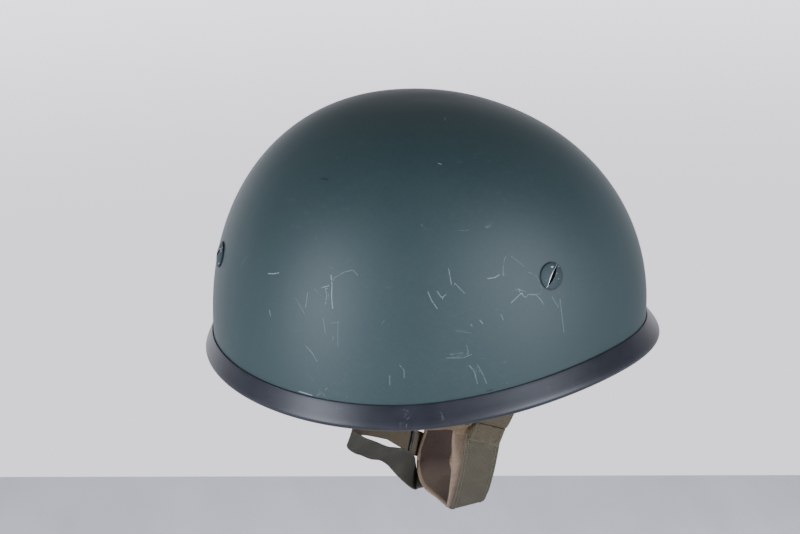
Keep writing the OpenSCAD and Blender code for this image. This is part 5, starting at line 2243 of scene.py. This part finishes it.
@dataclass
class Studio:
    """Camera, lamps and a pale table. Lengths are metres."""

    target: tuple[float, float, float] = (0.0, 0.022, 0.070)
    distance: float = 1.2
    side_turn: float = 10.46
    elevation: float = 20.26
    roll: float = 2.53
    pixels_per_metre: float = 1660.0
    picture: tuple[int, int] = (800, 534)
    target_pixel: tuple[float, float] = (391.8, 218.3)
    table_drop: float = 0.26
    table_edge: tuple[tuple[float, float], tuple[float, float]] = ((0.0, 477.0), (800.0, 475.0))
    air: Colour = (0.70, 0.695, 0.75)
    dim: float = 0.32
    bright: float = 1.34
    glow: float = 1.5
    shade: float = 0.6
    near: float = 0.6
    lamps: tuple[Softbox, ...] = (
        Softbox("rear_lamp", azimuth=124.0, elevation=6.0, size=(0.65, 1.2), power=43.0),
        Softbox("front_lamp", azimuth=222.0, elevation=4.0, size=(0.5, 1.2), power=35.0),
    )
    scratches: tuple[Scratch, ...] = (
        Scratch(((269, 273.5), (273, 274), (278, 273)), 0.75),
        Scratch(((331, 276.5), (332, 285), (331.5, 295), (332.5, 307)), 0.7),
        Scratch(((322.5, 287.5), (328, 286)), 0.55),
        Scratch(((325, 288), (327, 295), (325.5, 303)), 0.3),
        Scratch(((334, 278), (344, 272), (353, 270), (357, 274.5)), 0.28),
        Scratch(((307.5, 294), (305.5, 306)), 0.28),
        Scratch(((296, 299), (304, 313)), 0.2),
        Scratch(((449, 270), (450, 277), (451, 284)), 0.5),
        Scratch(((428.5, 293), (432, 301), (437, 308)), 0.42),
        Scratch(((438, 292), (442, 298), (445, 295)), 0.42),
        Scratch(((456, 284), (463.5, 292.5)), 0.35),
        Scratch(((488, 278.5), (491.5, 278)), 0.6),
        Scratch(((496, 277), (498, 275.5)), 0.6),
        Scratch(((512, 302), (520, 294.5), (525, 297)), 0.55),
        Scratch(((519, 289.5), (522.5, 294)), 0.5),
        Scratch(((528, 294.5), (536, 294.5), (540, 299), (543.5, 304)), 0.4),
        Scratch(((552.5, 297), (559, 309)), 0.25),
        Scratch(((560, 300), (562, 316), (564, 331)), 0.3),
        Scratch(((447, 358), (463, 358), (470, 355)), 0.25),
        Scratch(((452, 354), (462, 353)), 0.2),
        Scratch(((467, 346), (469, 354)), 0.22),
        Scratch(((470, 366), (475, 372), (477, 383)), 0.4),
        Scratch(((478, 366), (484, 376), (486, 382.5)), 0.28),
        Scratch(((400.5, 366), (404, 370), (404, 377)), 0.3),
        Scratch(((389.5, 377), (390, 384)), 0.3),
        Scratch(((307, 347), (312, 353), (316.5, 360)), 0.35),
        Scratch(((332, 323), (338, 322), (338, 345)), 0.16),
        Scratch(((323, 320), (325, 332)), 0.2),
        Scratch(((481, 321), (482, 323)), 0.5),
        Scratch(((471, 325), (472, 326)), 0.4),
        Scratch(((501.5, 315), (503, 319)), 0.3),
        Scratch(((457, 331), (470, 333)), 0.14),
        Scratch(((269.5, 311), (270.5, 315)), 0.45),
        Scratch(((512, 257), (524, 266)), 0.16),
        Scratch(((438.5, 163.5), (440.5, 164)), 0.6),
        Scratch(((300, 391.5), (306, 393.5), (311, 395)), 0.9),
    )
    stains: tuple[Scratch, ...] = (
        Scratch(((322, 178.5), (327, 179.5)), 0.9),
        Scratch(((362, 161), (365, 161)), 0.7),
        Scratch(((487, 391), (492, 389.5)), 1.0),
    )

    def aim(self, azimuth: float, elevation: float) -> Vector:
        """Direction from the helmet, by angle from +X and height."""
        a, e = math.radians(azimuth), math.radians(elevation)
        return Vector((math.cos(a) * math.cos(e), math.sin(a) * math.cos(e), math.sin(e)))

    @property
    def focus(self) -> float:
        """Distance of the picture from the eye, in pixels."""
        return self.pixels_per_metre * self.distance

    def frame(self) -> tuple[Vector, Vector, Vector, Vector]:
        """Set up the camera.

        The target falls on its own pixel, so the camera looks past it by the same number of pixels.

        Returns:
            Its place and its directions right, up and ahead.
        """
        al, e, ro = (math.radians(v) for v in (self.side_turn, self.elevation, self.roll))
        back = Vector((-math.cos(al) * math.cos(e), math.sin(al) * math.cos(e), math.sin(e)))
        level = Vector((-math.sin(al), -math.cos(al), 0.0))
        rise = Vector((math.cos(al) * math.sin(e), -math.sin(al) * math.sin(e), math.cos(e)))
        right = level * math.cos(ro) - rise * math.sin(ro)
        up = level * math.sin(ro) + rise * math.cos(ro)
        shift_x = self.picture[0] / 2 - self.target_pixel[0]
        shift_y = self.target_pixel[1] - self.picture[1] / 2
        view = (-back * self.focus + right * shift_x + up * shift_y).normalized()
        right = (right - view * right.dot(view)).normalized()
        return Vector(self.target) + back * self.distance, right, right.cross(view), view

    def camera(self) -> None:
        """Make the camera."""
        eye, right, up, view = self.frame()
        data = bpy.data.cameras.new("camera")
        data.sensor_width = 36.0
        data.lens = self.focus / self.picture[0] * data.sensor_width
        data.clip_start, data.clip_end = 0.01, 20.0
        made = bpy.data.objects.new("camera", data)
        bpy.context.scene.collection.objects.link(made)
        turn = Matrix((right, up, -view)).transposed().to_4x4()
        made.matrix_world = Matrix.Translation(eye) @ turn
        bpy.context.scene.camera = made

    def light(self) -> None:
        """Hang the lamps and set pale grey surroundings.

        Their strength is dim (1 + back) + level (bright + glow low) (1 - shade side) (near + (1 - near) b),
        where b, back, is 1 away from the camera, level fades out above the horizon, low is 1 down to the
        top of the picture, and side is 1 far ahead of and behind the helmet.
        """
        for lamp in self.lamps:
            data = bpy.data.lights.new(lamp.name, "AREA")
            data.shape = "RECTANGLE"
            data.size, data.size_y = lamp.size
            data.energy, data.color = lamp.power, lamp.colour
            made = bpy.data.objects.new(lamp.name, data)
            toward = self.aim(lamp.azimuth, lamp.elevation)
            made.location = Vector(self.target) + toward * lamp.distance
            made.rotation_euler = toward.to_track_quat("Z", "Y").to_euler()
            bpy.context.scene.collection.objects.link(made)
        world = bpy.data.worlds.new("surroundings")
        net = Net(world)
        toward = net.node("ShaderNodeTexCoord", out="Generated")
        rise = net.axis(toward, "Z")
        side = net.axis(toward, "Y").size().ramp(0.38, 0.80)
        back = net.axis(toward, "X").ramp(0.2, 0.6)
        level = rise.ramp(0.30, -0.05) * (self.bright + self.glow * rise.ramp(-0.34, -0.16))
        level = level * (1.0 - side * self.shade) * (back * (1.0 - self.near) + self.near)
        strength = (back + 1.0) * self.dim + level
        sky = net.node("ShaderNodeBackground", None, {"Color": self.air, "Strength": strength})
        net.node("ShaderNodeOutputWorld", None, {"Surface": sky})
        bpy.context.scene.world = world

    def on_dome(self, pixel: tuple[float, float]) -> tuple[float, ...]:
        """Find the place of the dome's near side whose picture lies nearest to a pixel.

        It is looked for on a coarse grid of angles and heights and again on a fine one round the first.
        With d the way from the camera, the picture is focus (d.right, d.up) / d.ahead.

        Args:
            pixel: Pixel of the photograph.

        Returns:
            The place in millimetres.
        """
        eye, right, up, view = (np.array(v) for v in self.frame())
        steps = np.linspace(-1.0, 1.0, 61)
        middle = (-90.0, 72.0)
        for reach_a, reach_z in ((85.0, 70.0), (5.0, 4.0)):
            a, z = np.meshgrid(middle[0] + reach_a * steps, np.maximum(middle[1] + reach_z * steps, 1.0))
            off = DOME.point(a, z, 0.0) * MM - eye
            x = self.picture[0] / 2 + self.focus * (off @ right) / (off @ view)
            y = self.picture[1] / 2 - self.focus * (off @ up) / (off @ view)
            hidden = (off * DOME.normal(a, z)).sum(-1) > 0
            nearest = np.argmin(np.where(hidden, np.inf, (x - pixel[0]) ** 2 + (y - pixel[1]) ** 2))
            middle = a.flat[nearest], z.flat[nearest]
        return tuple(float(v) for v in DOME.point(*middle, 0.0))

    def marks(self, scratches: Sequence[Scratch]) -> tuple[Mark, ...]:
        """Carry scratches from the photograph on to the dome, one mark for each straight piece."""
        return tuple(
            Mark(self.on_dome(start), self.on_dome(end), scratch.strength)
            for scratch in scratches
            for start, end in zip(scratch.pixels[:-1], scratch.pixels[1:])
        )

    def on_table(self, pixel: tuple[float, float]) -> Array:
        """Follow the ray through a pixel down to the table.

        Args:
            pixel: Pixel of the photograph.

        Returns:
            Place on the table in metres.
        """
        eye, right, up, view = self.frame()
        x, y = pixel[0] - self.picture[0] / 2, self.picture[1] / 2 - pixel[1]
        ray = np.array(view * self.focus + right * x + up * y)
        return np.array(eye) + ray * (-self.table_drop - eye.z) / ray[2]

    def table(self) -> None:
        """Lay a pale table below the helmet, with its back edge where the photograph has it."""
        left, right = (self.on_table(pixel) for pixel in self.table_edge)
        side = (right - left) / np.linalg.norm(right - left)
        near = np.cross(side, UP) * math.copysign(1.0, -side[1])
        reach, thick = 3.0, 0.02
        top = np.stack([
            left - side * reach,
            right + side * reach,
            right + (side + near) * reach,
            left + (near - side) * reach,
        ])
        verts, quads, tris, *_ = Skin(np.stack([top - thick * UP, top])).arrays()
        make_object("table", verts * PER_METRE, quads.tolist() + tris.tolist(), TableTop(), SHARP)


def main() -> None:
    """Build the studio and every sub-assembly in order."""
    logging.basicConfig(level=logging.INFO, format="%(message)s")
    studio = Studio()
    studio.camera()
    SteelShell(studio.marks(studio.scratches), studio.marks(studio.stains)).build()
    RubberEdge().build()
    Bolts().build()
    LinerBands().build()
    LeatherLiner().build()
    Pads().build()
    HelmetStraps().build()
    harness = ChinHarness()
    harness.build()
    SlideBuckle(harness).build()
    studio.light()
    studio.table()


if __name__ == "__main__":
    main()
